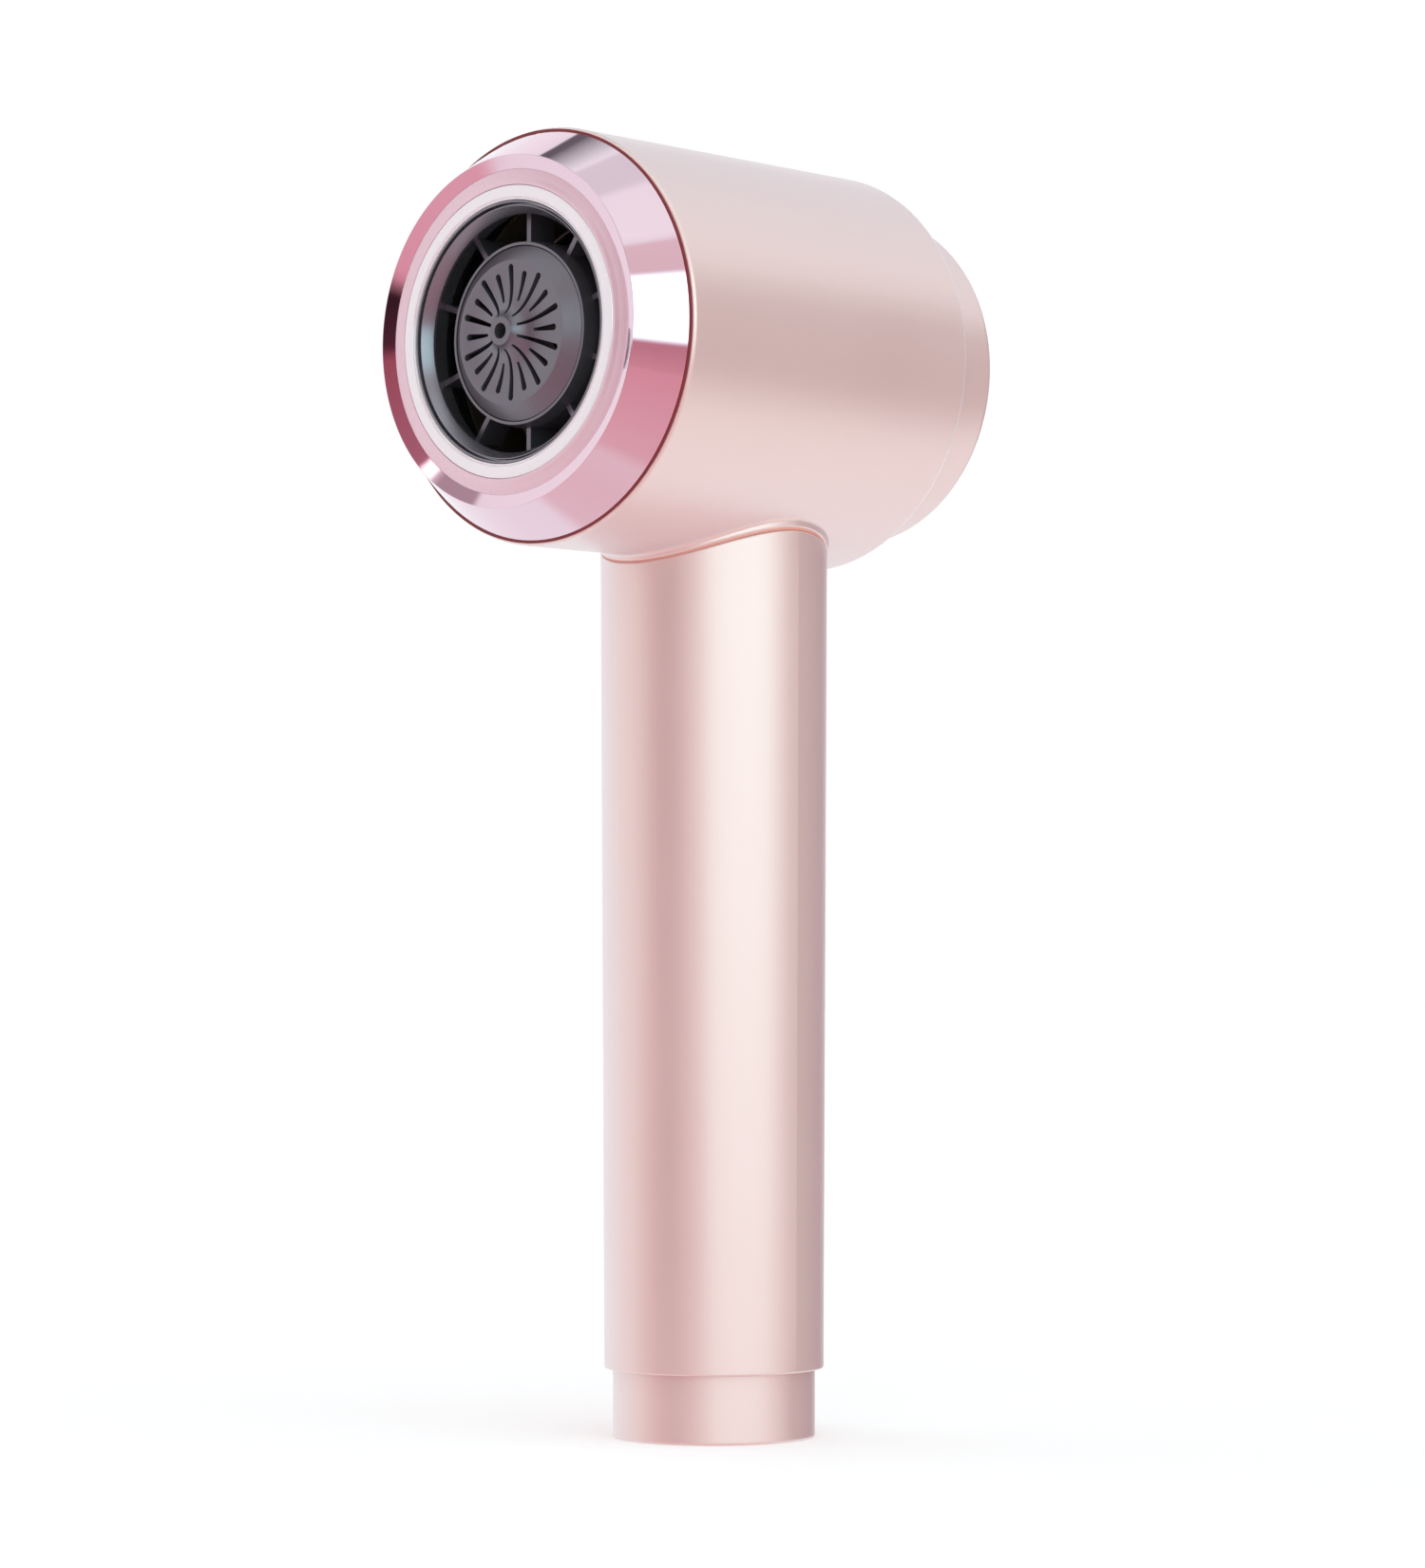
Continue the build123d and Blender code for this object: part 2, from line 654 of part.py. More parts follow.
with BuildPart() as driver_board:
    with BuildSketch(across(0.4)):
        Circle(14.0)
        Circle(2.6, mode=Mode.SUBTRACT)
    extrude(amount=1.0)
    with BuildSketch(across(-0.8)):
        with PolarLocations(8.2, 6):
            Rectangle(3.6, 3.6)
    extrude(amount=1.2)
save(driver_board, "driver_board")

# ================================================================= rear guard and cap
GUARD_Y = DUCT_REAR + 0.6

with BuildPart() as intake_guard:
    with BuildSketch(across(GUARD_Y)):
        Circle(DUCT_R)
        Circle(DUCT_R - 2.0, mode=Mode.SUBTRACT)
        for ring_r in (20.5, 14.5, 8.5):
            Circle(ring_r)
            Circle(ring_r - 1.0, mode=Mode.SUBTRACT)
            with PolarLocations(DUCT_R / 2, 6, start_angle=30):
                Rectangle(DUCT_R - 2.0, 1.2)
        Circle(4.0)
    extrude(amount=1.4)
    with BuildSketch(across(DUCT_REAR)):
        Circle(DUCT_R)
        Circle(DUCT_R - DUCT_WALL, mode=Mode.SUBTRACT)
    extrude(amount=GUARD_Y - DUCT_REAR)
save(intake_guard, "intake_guard")

CAP_BORE_R = CAP_R - CAP_WALL
GRILLE_R = 27.0
GRILLE_Y = 40.8

with BuildPart() as rear_cap_shell:
    with BuildSketch(HEAD_SECTION):
        with BuildLine():
            Polyline(
                (CAP_REAR, CAP_R - 1.4),
                (CAP_REAR, GRILLE_R),
                (CAP_REAR - 2.2, GRILLE_R),
                (CAP_REAR - 2.2, CAP_BORE_R),
                (CAP_FRONT, CAP_BORE_R),
                (CAP_FRONT, CAP_R),
                (CAP_REAR - 1.4, CAP_R),
            )
            RadiusArc((CAP_REAR, CAP_R - 1.4), (CAP_REAR - 1.4, CAP_R), -1.4)
        make_face()
    revolve(axis=HEAD_AXIS)
save(rear_cap_shell, "rear_cap_shell")

with BuildPart() as intake_grille:
    with BuildSketch(across(GRILLE_Y)):
        Circle(GRILLE_R - FIT)
        for ring in range(1, 8):
            with PolarLocations(3.5 * ring, 6 * ring, start_angle=90):
                Circle(1.15, mode=Mode.SUBTRACT)
    extrude(amount=1.6)
save(intake_grille, "intake_grille")

with BuildPart() as filter_frame:
    with BuildSketch(across(33.2)):
        Circle(CAP_BORE_R - 0.05)
        Circle(26.0, mode=Mode.SUBTRACT)
        with PolarLocations(13.2, 3, start_angle=90):
            Rectangle(26.2, 1.4)
        Circle(3.0)
    extrude(amount=1.2)
    with BuildSketch(across(34.4)):
        Circle(CAP_BORE_R - 0.05)
        Circle(27.6, mode=Mode.SUBTRACT)
    extrude(amount=2.0)
save(filter_frame, "filter_frame")

with BuildPart() as filter_mesh:
    with BuildSketch(across(34.45)):
        Circle(27.5)
    extrude(amount=0.5)
save(filter_mesh, "filter_mesh")

# ============================================================================ handle
TUBE_TOP = HEAD_Z - 28.0


def handle_r(z):
    """Outside radius of the tapered handle at height z."""
    share = (z - FOOT_H) / (HEAD_Z - 30.4 - FOOT_H)
    return HANDLE_FOOT_R + (HANDLE_TOP_R - HANDLE_FOOT_R) * share


with BuildPart() as handle_tube:
    with BuildSketch(Plane.XZ):
        Polygon(
            (handle_r(FOOT_H) - HANDLE_WALL, FOOT_H),
            (handle_r(FOOT_H), FOOT_H),
            (handle_r(TUBE_TOP), TUBE_TOP),
            (handle_r(TUBE_TOP) - HANDLE_WALL, TUBE_TOP),
        )
    revolve(axis=Axis.Z)
    # The top follows the barrel.
    with BuildSketch(across(-BARREL_R)):
        Circle(SEAM_R + SEAM_GAP)
    extrude(amount=2 * BARREL_R, mode=Mode.SUBTRACT)
    tube_top = handle_tube.edges().filter_by(GeomType.BSPLINE).sort_by(SortBy.LENGTH)[-1]
    fillet(tube_top, EDGE_R)
    tube_ends = handle_tube.edges().filter_by(GeomType.CIRCLE).sort_by(SortBy.RADIUS)
    fillet(tube_ends[-1], EDGE_R)
    # Window for the controls.
    with BuildSketch(handle_wall_at(10, PANEL_Z)):
        RectangleRounded(PANEL_W + 0.3, PANEL_H + 0.3, 4.15)
    extrude(amount=15, mode=Mode.SUBTRACT)
save(handle_tube, "handle_tube")

with BuildPart() as neck_gasket:
    with BuildSketch(Plane.XY.offset(SPIGOT_END + 1)):
        Circle(COLLAR_R - 0.35)
        Circle(SPIGOT_R + 0.1, mode=Mode.SUBTRACT)
    extrude(amount=30)
    with BuildSketch(across(-BARREL_R)):
        Circle(SEAM_R + SEAM_GAP)
        Circle(SEAM_R, mode=Mode.SUBTRACT)
    extrude(amount=2 * BARREL_R, mode=Mode.INTERSECT)
save(neck_gasket, "neck_gasket")

CAP_SPIGOT_R = HANDLE_FOOT_R - HANDLE_WALL - FIT
CAP_FLOOR = 4.0
FOOT_SCREW_X = 11.5
SCREW_HEAD_R = 2.4
SCREW_LEN = 12.0
HEAD_SINK = 2.2

with BuildPart() as lower_cap:
    with BuildSketch(Plane.XY):
        Circle(FOOT_R)
    extrude(amount=FOOT_H)
    fillet(lower_cap.faces().sort_by(Axis.Z)[0].edges(), 0.5)
    with BuildSketch(Plane.XY.offset(FOOT_H)):
        Circle(CAP_SPIGOT_R)
    extrude(amount=9.0)
    with BuildSketch(Plane.XY.offset(CAP_FLOOR)):
        Circle(CAP_SPIGOT_R - 1.8)
    extrude(amount=FOOT_H + 9.0 - CAP_FLOOR, mode=Mode.SUBTRACT)
    with BuildSketch(Plane.XY):
        Circle(GLAND_R + 0.05)
        with Locations((-FOOT_SCREW_X, 0), (FOOT_SCREW_X, 0)):
            Circle(SCREW_SHANK_R + 0.15)
    extrude(amount=CAP_FLOOR, mode=Mode.SUBTRACT)
    with BuildSketch(Plane.XY):
        with Locations((-FOOT_SCREW_X, 0), (FOOT_SCREW_X, 0)):
            Circle(SCREW_HEAD_R + 0.2)
    extrude(amount=HEAD_SINK, mode=Mode.SUBTRACT)
save(lower_cap, "lower_cap")

with BuildPart() as cord_gland:
    with BuildSketch(Plane.XZ):
        Polygon(
            (CORD_BORE_R, 0),
            (GLAND_R, 0),
            (GLAND_R, CAP_FLOOR + 0.05),
            (GLAND_R + 1.6, CAP_FLOOR + 0.05),
            (GLAND_R + 1.6, CAP_FLOOR + 2.0),
            (GLAND_R - 0.8, GLAND_H),
            (CORD_BORE_R, GLAND_H),
        )
    revolve(axis=Axis.Z)
save(cord_gland, "cord_gland")


# Chassis: a plate down the middle of the handle with an end disc at each end.
CHASSIS_FOOT = 24.0
CHASSIS_TOP = SPIGOT_END - 0.1
TOP_DISC = 3.0
PLATE_BACK = -3.0
PLATE_FRONT = -1.0
PLATE_HALF = 17.2
BOARD_POSTS = [(x, z) for z in (40.0, 132.0) for x in (-10.5, 10.5)]
CONTROL_POSTS = [(0.0, 78.0), (0.0, 137.2)]
CLAMP_Z = 33.0
CLAMP_X = 8.0
SMALL_SHANK_R = 0.95
SMALL_HEAD_R = 1.8
SMALL_LEN = 5.0

with BuildPart() as handle_chassis:
    with BuildSketch(handle_wall_at(PLATE_BACK)):
        with Locations((0, (CHASSIS_FOOT + CHASSIS_TOP) / 2)):
            Rectangle(2 * PLATE_HALF, CHASSIS_TOP - CHASSIS_FOOT)
        with Locations((0, CHASSIS_FOOT)):
            Rectangle(10, 34, mode=Mode.SUBTRACT)
        with Locations((0, 62.0), (0, 100.0)):
            RectangleRounded(12, 20, 2, mode=Mode.SUBTRACT)
        with Locations((0, CHASSIS_TOP)):
            Rectangle(9, 12, mode=Mode.SUBTRACT)
    extrude(amount=PLATE_FRONT - PLATE_BACK)
    with BuildSketch(Plane.XY.offset(CHASSIS_FOOT)):
        Circle(PLATE_HALF)
        Circle(5.0, mode=Mode.SUBTRACT)
    extrude(amount=3.0)
    with BuildSketch(Plane.XY.offset(CAP_FLOOR + 0.1)):
        with Locations((-FOOT_SCREW_X, 0), (FOOT_SCREW_X, 0)):
            Circle(3.0)
    extrude(amount=CHASSIS_FOOT - CAP_FLOOR)
    with BuildSketch(Plane.XY.offset(CHASSIS_TOP - TOP_DISC)):
        Circle(PLATE_HALF)
        with Locations((0, -6.5), (0, 6.5)):
            RectangleRounded(14, 9, 2, mode=Mode.SUBTRACT)
    extrude(amount=TOP_DISC)
    # Holes for the screws from the foot and up into the neck.
    with BuildSketch(Plane.XY.offset(CAP_FLOOR + 0.1)):
        with Locations((-FOOT_SCREW_X, 0), (FOOT_SCREW_X, 0)):
            Circle(SCREW_SHANK_R + 0.05)
    extrude(amount=11, mode=Mode.SUBTRACT)
    with BuildSketch(Plane.XY.offset(CHASSIS_TOP - TOP_DISC)):
        with Locations((-NECK_BOSS_X, 0), (NECK_BOSS_X, 0)):
            Circle(SCREW_SHANK_R + 0.15)
    extrude(amount=TOP_DISC, mode=Mode.SUBTRACT)
    with BuildSketch(Plane.XY.offset(CHASSIS_TOP - TOP_DISC - 4.5)):
        with Locations((-NECK_BOSS_X, 0), (NECK_BOSS_X, 0)):
            Circle(SCREW_HEAD_R + 0.4)
    extrude(amount=4.5, mode=Mode.SUBTRACT)
    # Posts for the two circuit boards and the cord clamp.
    with BuildSketch(handle_wall_at(-6.5)):
        with Locations(*BOARD_POSTS):
            Circle(2.4)
    extrude(amount=6.5 + PLATE_BACK + 0.2)
    with BuildSketch(handle_wall_at(PLATE_FRONT - 0.2)):
        with Locations(*CONTROL_POSTS):
            Circle(2.4)
    extrude(amount=CONTROLS_Y - 1.2 - PLATE_FRONT + 0.2)
    with BuildSketch(handle_wall_at(PLATE_FRONT - 0.2)):
        with Locations((-CLAMP_X, CLAMP_Z), (CLAMP_X, CLAMP_Z)):
            Circle(2.4)
    extrude(amount=4.6)
    with BuildSketch(handle_wall_at(-6.5)):
        with Locations(*BOARD_POSTS):
            Circle(SMALL_SHANK_R + 0.05)
    extrude(amount=3.4, mode=Mode.SUBTRACT)
    with BuildSketch(handle_wall_at(CONTROLS_Y - 1.2 - 4)):
        with Locations(*CONTROL_POSTS):
            Circle(SMALL_SHANK_R + 0.05)
    extrude(amount=4, mode=Mode.SUBTRACT)
    with BuildSketch(handle_wall_at(PLATE_FRONT + 0.3)):
        with Locations((-CLAMP_X, CLAMP_Z), (CLAMP_X, CLAMP_Z)):
            Circle(SMALL_SHANK_R + 0.05)
    extrude(amount=4.1, mode=Mode.SUBTRACT)
save(handle_chassis, "handle_chassis")

with BuildPart() as handle_screws:
    for head_z in (HEAD_SINK - 1.9, CHASSIS_TOP - TOP_DISC - 1.9):
        screw_x = FOOT_SCREW_X if head_z < FOOT_H else NECK_BOSS_X
        with BuildSketch(Plane.XY.offset(head_z)):
            with Locations((-screw_x, 0), (screw_x, 0)):
                Circle(SCREW_HEAD_R)
        extrude(amount=1.9)
        with BuildSketch(Plane.XY.offset(head_z + 1.9)):
            with Locations((-screw_x, 0), (screw_x, 0)):
                Circle(SCREW_SHANK_R)
        extrude(amount=SCREW_LEN)
save(handle_screws, "handle_screws")

POWER_BOARD_Y = -8.1
POWER_BOARD_Z = 86.0
TRIAC_Z = 67.0
TERMINALS_Z = 43.0
WIRE_R = 0.9

with BuildPart() as power_board:
    with BuildSketch(handle_wall_at(POWER_BOARD_Y)):
        with Locations((0, POWER_BOARD_Z)):
            RectangleRounded(27, 104, 1.5)
        with Locations(*BOARD_POSTS):
            Circle(SMALL_SHANK_R + 0.15, mode=Mode.SUBTRACT)
    extrude(amount=1.6)
save(power_board, "power_board")

CONTROL_BOARD_T = 1.2

with BuildPart() as control_board:
    with BuildSketch(handle_wall_at(CONTROLS_Y - CONTROL_BOARD_T, PANEL_Z)):
        RectangleRounded(15, 66, 1.5)
        with Locations(*[(x, z - PANEL_Z) for x, z in CONTROL_POSTS]):
            Circle(SMALL_SHANK_R + 0.15, mode=Mode.SUBTRACT)
    extrude(amount=CONTROL_BOARD_T)
save(control_board, "control_board")

with BuildPart() as board_screws:
    # The same small screw holds the power board, the control board and the cord clamp.
    for head_y, way, spots in (
        (POWER_BOARD_Y, 1, BOARD_POSTS),
        (CONTROLS_Y, -1, CONTROL_POSTS),
        (6.6, -1, [(-CLAMP_X, CLAMP_Z), (CLAMP_X, CLAMP_Z)]),
    ):
        with BuildSketch(handle_wall_at(head_y)):
            with Locations(*spots):
                Circle(SMALL_HEAD_R)
        extrude(amount=-1.2 * way)
        with BuildSketch(handle_wall_at(head_y)):
            with Locations(*spots):
                Circle(SMALL_SHANK_R)
        extrude(amount=SMALL_LEN * way - 0.1 * way)
save(board_screws, "board_screws")

with BuildPart() as cord_clamp:
    with BuildSketch(handle_wall_at(3.6)):
        with Locations((0, CLAMP_Z)):
            RectangleRounded(22, 7, 1.5)
        with Locations((-CLAMP_X, CLAMP_Z), (CLAMP_X, CLAMP_Z)):
            Circle(SMALL_SHANK_R + 0.15, mode=Mode.SUBTRACT)
    extrude(amount=3.0)
    with BuildSketch(Plane.XY.offset(CLAMP_Z - 4)):
        Circle(CORD_BORE_R + 1.0)
    extrude(amount=8, mode=Mode.SUBTRACT)
save(cord_clamp, "cord_clamp")

with BuildPart() as bulk_capacitor:
    with BuildSketch(Plane.XY.offset(96)):
        with Locations((0, POWER_BOARD_Y - 4.4)):
            Circle(4.3)
    extrude(amount=20)
    fillet(bulk_capacitor.edges().filter_by(GeomType.CIRCLE), 0.6)
save(bulk_capacitor, "bulk_capacitor")

with BuildPart() as choke:
    for choke_z, choke_len, choke_r in ((82, 1.5, 4.2), (83.5, 7, 3.2), (90.5, 1.5, 4.2)):
        with BuildSketch(Plane.XY.offset(choke_z)):
            with Locations((0, POWER_BOARD_Y - 4.3)):
                Circle(choke_r)
        extrude(amount=choke_len)
save(choke, "choke")

with BuildPart() as heater_triac:
    with BuildSketch(handle_wall_at(POWER_BOARD_Y - 4.5)):
        with Locations((0, TRIAC_Z)):
            Rectangle(10, 15)
    extrude(amount=4.4)
save(heater_triac, "heater_triac")

with BuildPart() as triac_heatsink:
    with BuildSketch(handle_wall_at(POWER_BOARD_Y - 6.1)):
        with Locations((0, TRIAC_Z)):
            Rectangle(14, 26)
    extrude(amount=1.5)
    with BuildSketch(handle_wall_at(POWER_BOARD_Y - 8.1)):
        with Locations((0, TRIAC_Z)):
            with GridLocations(2.6, 0, 5, 1):
                Rectangle(1.0, 26)
    extrude(amount=2.2)
save(triac_heatsink, "triac_heatsink")

with BuildPart() as terminal_block:
    with BuildSketch(handle_wall_at(POWER_BOARD_Y - 7.1, TERMINALS_Z)):
        Rectangle(13, 9)
        with Locations((-3.2, 0), (3.2, 0)):
            Circle(1.6, mode=Mode.SUBTRACT)
    extrude(amount=7.0)
save(terminal_block, "terminal_block")

with BuildPart() as ion_module:
    with BuildSketch(handle_wall_at(PLATE_FRONT + 0.05)):
        with Locations((0, 62)):
            RectangleRounded(14, 24, 1.5)
    extrude(amount=8)
save(ion_module, "ion_module")

LOOM_Y = -4.8
LOOM_FRONT = -26.0
LOOM_FOOT = 139.0
LOOM_TOP = 163.8

# Wires from the power board up through the neck and forward under the duct.
with BuildPart() as wiring_loom:
    for wire_x in (-3.0, 0.0, 3.0):
        with BuildLine() as wire_line:
            FilletPolyline(
                (wire_x, LOOM_Y, LOOM_FOOT),
                (wire_x, LOOM_Y, LOOM_TOP),
                (wire_x, LOOM_FRONT, LOOM_TOP),
                radius=6,
            )
        wire_path = wire_line.line
        with BuildSketch(Plane(origin=wire_path @ 0, z_dir=wire_path % 0)):
            Circle(WIRE_R)
        sweep(path=wire_path)
save(wiring_loom, "wiring_loom")

# ========================================================================== controls
PANEL_INNER_R = 16.9
PANEL_FLANGE_R = 18.15
LENS_Z = 112.0
LENS_X = 3.6
STEM_W = 4.6
STEM_H = 5.0
SLOT_CLEARANCE = 0.6
KNOB_Y = 20.4               # underside of the sliding knob

with BuildPart() as control_panel:
    # Flange behind the tube wall, then the face plate that fills the window.
    with BuildSketch(handle_wall_at(8, PANEL_Z)):
        RectangleRounded(PANEL_W + 4, PANEL_H + 4, 4)
    extrude(amount=14)
    with BuildSketch(Plane.XY.offset(PANEL_Z - PANEL_H)):
        Circle(PANEL_FLANGE_R)
    extrude(amount=2 * PANEL_H, mode=Mode.INTERSECT)
    with BuildSketch(handle_wall_at(8, PANEL_Z)):
        RectangleRounded(PANEL_W, PANEL_H, 4)
    extrude(amount=16)
    with BuildSketch(Plane.XY.offset(PANEL_Z - PANEL_H)):
        Circle(2 * PANEL_R)
        Circle(PANEL_R, mode=Mode.SUBTRACT)
    extrude(amount=2 * PANEL_H, mode=Mode.SUBTRACT)
    with BuildSketch(Plane.XY.offset(PANEL_Z - PANEL_H)):
        Circle(PANEL_INNER_R)
    extrude(amount=2 * PANEL_H, mode=Mode.SUBTRACT)
    with BuildSketch(handle_wall_at(8)):
        with Locations((0, SLIDE_Z + SLIDE_TRAVEL / 2)):
            RectangleRounded(
                STEM_W + SLOT_CLEARANCE, STEM_H + SLIDE_TRAVEL + SLOT_CLEARANCE, 0.8
            )
        with Locations((0, HEAT_Z), (0, COOL_Z)):
            Circle(BUTTON_R + 0.3)
        with Locations((-LENS_X, LENS_Z), (0, LENS_Z), (LENS_X, LENS_Z)):
            Circle(1.0)
    extrude(amount=16, mode=Mode.SUBTRACT)
save(control_panel, "control_panel")

with BuildPart() as power_slider:
    with BuildSketch(handle_wall_at(14.6, SLIDE_Z)):
        Rectangle(9, 7.5)
    extrude(amount=1.3)
    with BuildSketch(handle_wall_at(15.8, SLIDE_Z)):
        Rectangle(STEM_W, STEM_H)
    extrude(amount=KNOB_Y - 15.8 + 0.2)
    with BuildSketch(handle_wall_at(KNOB_Y, SLIDE_Z)):
        RectangleRounded(8, 10.5, 2)
    extrude(amount=1.8)
    with BuildSketch(handle_wall_at(KNOB_Y + 1.7, SLIDE_Z)):
        with GridLocations(0, 2.0, 1, 3):
            RectangleRounded(5.6, 0.9, 0.4)
    extrude(amount=0.6)
save(power_slider, "power_slider")

with BuildPart() as slide_switch:
    with BuildSketch(handle_wall_at(CONTROLS_Y, SLIDE_Z + SLIDE_TRAVEL / 2)):
        Rectangle(8.5, 18)
    extrude(amount=4.4)
save(slide_switch, "slide_switch")

BUTTON_BACK = 14.4
BUTTON_FACE = 20.9

for button_z, button_name in ((HEAT_Z, "heat_button"), (COOL_Z, "cool_button")):
    with BuildPart() as push_button:
        with BuildSketch(handle_wall_at(BUTTON_BACK, button_z)):
            Circle(BUTTON_R + 0.9)
        extrude(amount=1.3)
        with BuildSketch(handle_wall_at(BUTTON_BACK, button_z)):
            Circle(BUTTON_R)
        extrude(amount=BUTTON_FACE - BUTTON_BACK)
        fillet(push_button.faces().sort_by(Axis.Y)[-1].edges(), 0.7)
    save(push_button, button_name)

SPRING_R = 4.0
SPRING_WIRE_R = 0.25

for spring_z, spring_name in ((HEAT_Z, "heat_spring"), (COOL_Z, "cool_spring")):
    with BuildPart() as button_spring:
        with BuildLine() as spring_line:
            Helix(
                pitch=1.3,
                height=3.9,
                radius=SPRING_R,
                center=(0, CONTROLS_Y + 0.3, spring_z),
                direction=(0, 1, 0),
            )
        spring_path = spring_line.line
        with BuildSketch(Plane(origin=spring_path @ 0, z_dir=spring_path % 0)):
            Circle(SPRING_WIRE_R)
        sweep(path=spring_path, is_frenet=True)
    save(button_spring, spring_name)

with BuildPart() as button_switches:
    for switch_z in (HEAT_Z, COOL_Z):
        with BuildSketch(handle_wall_at(CONTROLS_Y, switch_z)):
            Rectangle(5, 5)
        extrude(amount=2.2)
        with BuildSketch(handle_wall_at(CONTROLS_Y + 2.2, switch_z)):
            Circle(1.3)
        extrude(amount=0.8)
save(button_switches, "button_switches")

with BuildPart() as indicator_lenses:
    with BuildSketch(handle_wall_at(14.2, LENS_Z)):
        RectangleRounded(2 * LENS_X + 2.6, 2.6, 1.2)
    extrude(amount=1.2)
    with BuildSketch(handle_wall_at(15.3, LENS_Z)):
        with GridLocations(LENS_X, 0, 3, 1):
            Circle(0.9)
    extrude(amount=4.3)
save(indicator_lenses, "indicator_lenses")
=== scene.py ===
import json
import math

import bmesh
import bpy
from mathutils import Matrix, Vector


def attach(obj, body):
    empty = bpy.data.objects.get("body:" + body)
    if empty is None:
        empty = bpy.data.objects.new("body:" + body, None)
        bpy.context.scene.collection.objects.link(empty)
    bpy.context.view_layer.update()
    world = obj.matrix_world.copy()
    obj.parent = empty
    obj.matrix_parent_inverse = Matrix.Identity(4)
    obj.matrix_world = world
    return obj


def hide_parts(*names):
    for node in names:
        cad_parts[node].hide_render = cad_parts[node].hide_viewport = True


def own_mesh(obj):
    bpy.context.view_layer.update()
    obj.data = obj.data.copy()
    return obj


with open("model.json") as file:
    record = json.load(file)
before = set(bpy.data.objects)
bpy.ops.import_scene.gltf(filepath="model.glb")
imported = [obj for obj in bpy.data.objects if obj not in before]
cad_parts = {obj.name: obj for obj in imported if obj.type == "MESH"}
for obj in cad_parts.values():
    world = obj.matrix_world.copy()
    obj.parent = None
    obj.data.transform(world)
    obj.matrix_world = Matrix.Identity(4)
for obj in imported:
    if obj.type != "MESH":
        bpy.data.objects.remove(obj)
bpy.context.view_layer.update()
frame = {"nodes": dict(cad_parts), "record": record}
scene = bpy.context.scene
NODES = frame["nodes"]
NODE_SLOT = {entry["node"]: entry["material_slot"] for entry in frame["record"]["subparts"]}

# ------------------------------------------------------------------ camera and colour
CAMERA_PLACE = (0.570751, -0.62295, 0.086002)
CAMERA_TURN = 0.742             # radians about Z, from looking along +Y
CAMERA_PITCH = 0.038            # radians upwards
FOCAL_LENGTH_MM = 106.605
SENSOR_WIDTH_MM = 36.0
NEAR_CLIP = 0.02
camera_data = bpy.data.cameras.new("camera")
camera_data.lens = FOCAL_LENGTH_MM
camera_data.sensor_width = SENSOR_WIDTH_MM
camera_data.clip_start = NEAR_CLIP
camera = bpy.data.objects.new("camera", camera_data)
camera.location = CAMERA_PLACE
camera.rotation_euler = (math.pi / 2 + CAMERA_PITCH, 0.0, CAMERA_TURN)
scene.collection.objects.link(camera)
scene.camera = camera
scene.view_settings.view_transform = "Standard"
scene.view_settings.look = "None"


# ------------------------------------------------------------------------ node helpers
class Graph:
    """Short calls for building a node tree."""

    def __init__(self, tree):
        self.tree = tree
        self.tree.nodes.clear()

    def node(self, kind, **settings):
        """A new node of this kind, with these settings."""
        made = self.tree.nodes.new(kind)
        for key, value in settings.items():
            setattr(made, key, value)
        return made

    def put(self, value, socket):
        """Link an output to the socket, or set the socket to a plain value."""
        if isinstance(value, bpy.types.NodeSocket):
            self.tree.links.new(value, socket)
        else:
            socket.default_value = value

    def math(self, operation, a, b=0.0):
        made = self.node("ShaderNodeMath", operation=operation)
        for value, socket in zip((a, b), made.inputs):
            self.put(value, socket)
        return made.outputs[0]

    def remap(self, value, low, high, to_low=0.0, to_high=1.0, smooth=True):
        made = self.node("ShaderNodeMapRange")
        made.interpolation_type = "SMOOTHSTEP" if smooth else "LINEAR"
        for item, socket in zip((value, low, high, to_low, to_high), made.inputs):
            self.put(item, socket)
        return made.outputs[0]

    def mix(self, factor, a, b):
        made = self.node("ShaderNodeMix", data_type="RGBA")
        self.put(factor, made.inputs["Factor"])
        self.put(a, made.inputs["A"])
        self.put(b, made.inputs["B"])
        return made.outputs["Result"]

    def noise(self, where, scale, detail=2.0, roughness=0.5):
        made = self.node("ShaderNodeTexNoise")
        self.put(where, made.inputs["Vector"])
        made.inputs["Scale"].default_value = scale
        made.inputs["Detail"].default_value = detail
        made.inputs["Roughness"].default_value = roughness
        return made.outputs["Fac"]


def rgba(r, g, b):
    return (r, g, b, 1.0)


